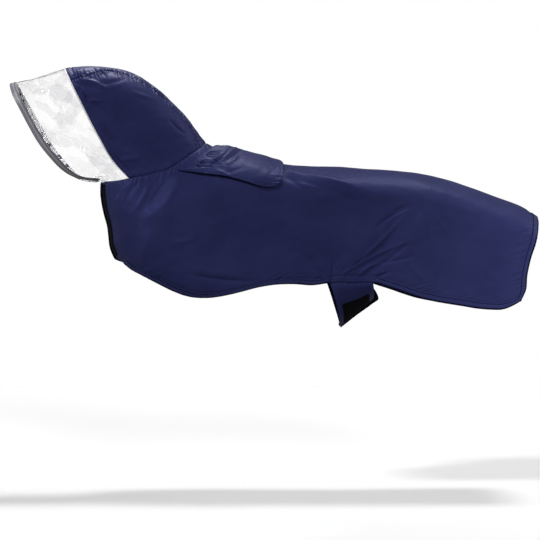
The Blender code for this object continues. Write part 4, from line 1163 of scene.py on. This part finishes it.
# A stitch from end to end in half lengths, with its thickness and its height there in radii.
STITCH_PLACES = np.array([-1.0, -0.75, 0.0, 0.75, 1.0])[:, None, None]
STITCH_FAT = THREAD_RADIUS * np.array([0.25, 0.9, 1.0, 0.9, 0.25])[:, None, None]
STITCH_HIGH = THREAD_RADIUS * np.array([-0.5, 0.3, 0.75, 0.3, -0.5])[:, None, None]

# Twisted polyester: a satin thread lighter than the cloth, its twist drawn as fine bands.
thread = new_material("polyester_sewing_thread", Roughness=0.5, Specular_IOR_Level=0.4,
                      Sheen_Weight=0.3, Sheen_Tint=linear("#8a8fc8"))
twist = add(thread, "TexWave", {"Vector": add(thread, "TexCoord", {}, "UV"), "Scale": 700.0},
            "Fac")
finish(thread, Base_Color=add(thread, "ValToRGB", {"Fac": twist},
                              stops=((0.0, "#2c3060"), (1.0, "#3f4684"))))


def stitches(name, slot, lines):
    """Rows of stitches as one piece: each is a six-sided capsule that dips in at its ends."""
    places, ways, ups = [], [], []
    for path, up in lines:
        run = lengths(path)
        at = np.arange(STITCH_PITCH, run[-1] - STITCH_PITCH, STITCH_PITCH)
        start, end = (read_line(path, run, at + shift)
                      for shift in (-STITCH_LENGTH / 2, STITCH_LENGTH / 2))
        places.append((start + end) / 2)
        ways.append((end - start) / 2)
        ups.append(unit(read_line(up, run, at)))
    place, way, up = (np.concatenate(part)[:, None, None] for part in (places, ways, ups))
    side = unit(np.cross(way, up))
    around = np.radians(np.arange(0, 360, 60))[:, None]
    points = (place + STITCH_PLACES * way + (STITCH_HIGH + STITCH_FAT * np.sin(around)) * up
              + STITCH_FAT * np.cos(around) * side)
    count = len(points)
    number = np.arange(count * 30).reshape(count, 5, 6)
    ends = np.concatenate([number[:, 0][:, [[0, 1, 2, 3], [3, 4, 5, 0]]],
                           number[:, 4][:, [[3, 2, 1, 0], [0, 5, 4, 3]]]])
    quads = np.concatenate([tube_faces(number), ends.reshape(-1, 4)])
    spread = np.stack(np.broadcast_arrays(np.arange(count)[:, None, None] * STITCH_PITCH
                                          + STITCH_PLACES[..., 0] * STITCH_LENGTH / 2,
                                          np.arange(6.0)), axis=-1).reshape(-1, 2)
    return piece(closed(name, points.reshape(-1, 3), [quads], spread), thread, slot)


def level_line(edges, points, out, part, at):
    """A smooth row of points at a distance from one of a form's four edges.

    Part is 0 to 3 for the first, last, start and end edge. The points are read between the two
    grid points on both sides of the distance.
    """
    far = edges[part]
    if part > 1:
        points, out, far = (grid.swapaxes(0, 1) for grid in (points, out, far))
    if part % 2:
        points, out, far = (grid[::-1] for grid in (points, out, far))
    low = np.clip((far < at).sum(axis=0) - 1, 0, len(far) - 2)
    column = np.arange(far.shape[1])
    near_far, next_far = far[low, column], far[low + 1, column]
    share = ((at - near_far) / np.maximum(next_far - near_far, 1e-6))[:, None]
    return (points[low, column] * (1 - share) + points[low + 1, column] * share,
            out[low, column])


def tape_line(profile, out, thick, place):
    """The row of points on a folded tape of this thickness, at a place in its profile."""
    base, up = read_in(profile, place), read_in(out, place)
    return (base + (TAPE_GAP + thick) * up)[:, 0], up[:, 0]


dark_lines = [level_line(panel_edges, panel, panel_out, 0, NECK_STITCHES)]
dark_lines += [level_line(*seam, 0, BAND_WIDTH - 2.0) for seam in hood_seams]
dark_lines += [level_line(*seam, 2, 3.5) for seam in hood_seams[:2]]
cloth_stitches = stitches("seam_stitches", "navy_nylon", dark_lines)
hem_place = np.array([BINDING_STITCHES / BOUND_EDGE * BINDING_STEPS])
hem_stitches = stitches("hem_stitches", "navy_binding", [
    tape_line(*profile, BINDING_TAPE, hem_place) for profile in hem_profiles])
flap_stitches = stitches("flap_stitches", "navy_nylon", [
    level_line(flap_edges, flap_points, flap_out, part, at)
    for part, at in enumerate((3.5, 5.0, 5.0, 5.0))])
peak_place = (PEAK_STITCHES / PEAK_BOUND_EDGE * EDGE_STEPS
              * tape_share(len(tape_profile[0]), PEAK_TAPE_ENDS))
tape_stitches = stitches("peak_tape_stitches", "reflective_tape", [
    tape_line(*tape_profile, PEAK_TAPE, peak_place)])
strap_stitches = [stitches(f"belly_strap_{name}_stitches", "navy_nylon",
                           [level_line(*form, part, 4.0) for part in (2, 3)])
                  for name, form in zip(("left", "right"), strap_forms)]


# Studio: a pale floor and a white surround that lights the coat dimly. Soft suns stand overhead,
# at the shoulder, at both sides and at the rear, and small lamps pick out rump, brow and
# withers. The camera stands level with the flank, square to the left side.

FLOOR_HEIGHT, FLOOR_HALF = -620.0, 3.0
SURROUND_DIM, SURROUND_SEEN = 0.15, 1.0
CAMERA_PLACE, CAMERA_TURN, CAMERA_LENS = (0.0555, -3.4, -0.2119), (90, 0, 0), 122.5


def stand(name, data, turn, place=(0, 0, 0), glossy=True):
    """A lamp or the camera, turned by these degrees, at a place in metres."""
    made = bpy.data.objects.new(name, data)
    made.location, made.rotation_euler = place, np.radians(turn)
    made.visible_glossy = glossy
    bpy.context.scene.collection.objects.link(made)
    return made


floor_mesh = bpy.data.meshes.new("floor")
corners = np.array([(-1, -1, 0), (1, -1, 0), (1, 1, 0), (-1, 1, 0)]) * FLOOR_HALF
floor_mesh.from_pydata((corners + (0, 0, FLOOR_HEIGHT * MM)).tolist(), [], [(0, 1, 2, 3)])
floor_mesh.materials.append(new_material(
    "matt_white_floor", Base_Color=linear("#ffffff"), Roughness=0.9,
    Emission_Color=linear("#ffffff"), Emission_Strength=0.05))
floor = bpy.data.objects.new("floor", floor_mesh)
bpy.context.scene.collection.objects.link(floor)
floor.visible_diffuse = floor.visible_glossy = False

world = bpy.data.worlds.new("studio")
world.use_nodes = True
bpy.context.scene.world = world
rays = add(world, "LightPath", {}).node.outputs
seen = add(world, "Math", {0: rays["Is Camera Ray"], 1: rays["Is Transmission Ray"]},
           operation="MAXIMUM")
feed(world.node_tree.nodes["Background"], {
    "Color": (1, 1, 1, 1),
    "Strength": add(world, "MapRange", {"Value": seen, "To Min": SURROUND_DIM,
                                        "To Max": SURROUND_SEEN})})

for name, turn, angle, power, glossy in (("overhead", (14, 0, 150), 12, 1.08, True),
                                         ("shoulder", (56, 0, -60), 6, 1.3, True),
                                         ("side", (72, 0, 12), 10, 0.8, False),
                                         ("rear", (60, 0, 100), 20, 0.7, True),
                                         ("far_side", (66, 0, 172), 30, 0.7, False)):
    light = bpy.data.lights.new(name, "SUN")
    light.angle, light.energy = np.radians(angle), power
    stand(name, light, turn, glossy=glossy)
for name, place, turn, power, size, glossy in (
        ("rump", (1.0, -1.0, -0.2), (89, 0, 25), 24, 0.6, False),
        ("brow", (-0.3, 0.6, 1.1), (33.6, 0, 182.7), 26, 0.36, True),
        ("withers", (-0.1, 0.6, 1.0), (32.7, 0, 184.5), 13, 0.2, True)):
    light = bpy.data.lights.new(name, "SPOT")
    light.energy, light.spot_size, light.spot_blend, light.shadow_soft_size = power, size, 1.0, 0.1
    stand(name, light, turn, place, glossy).visible_camera = False

camera_data = bpy.data.cameras.new("camera")
camera_data.lens = CAMERA_LENS
bpy.context.scene.camera = stand("camera", camera_data, CAMERA_TURN, CAMERA_PLACE)
bpy.context.scene.view_settings.view_transform = "Standard"
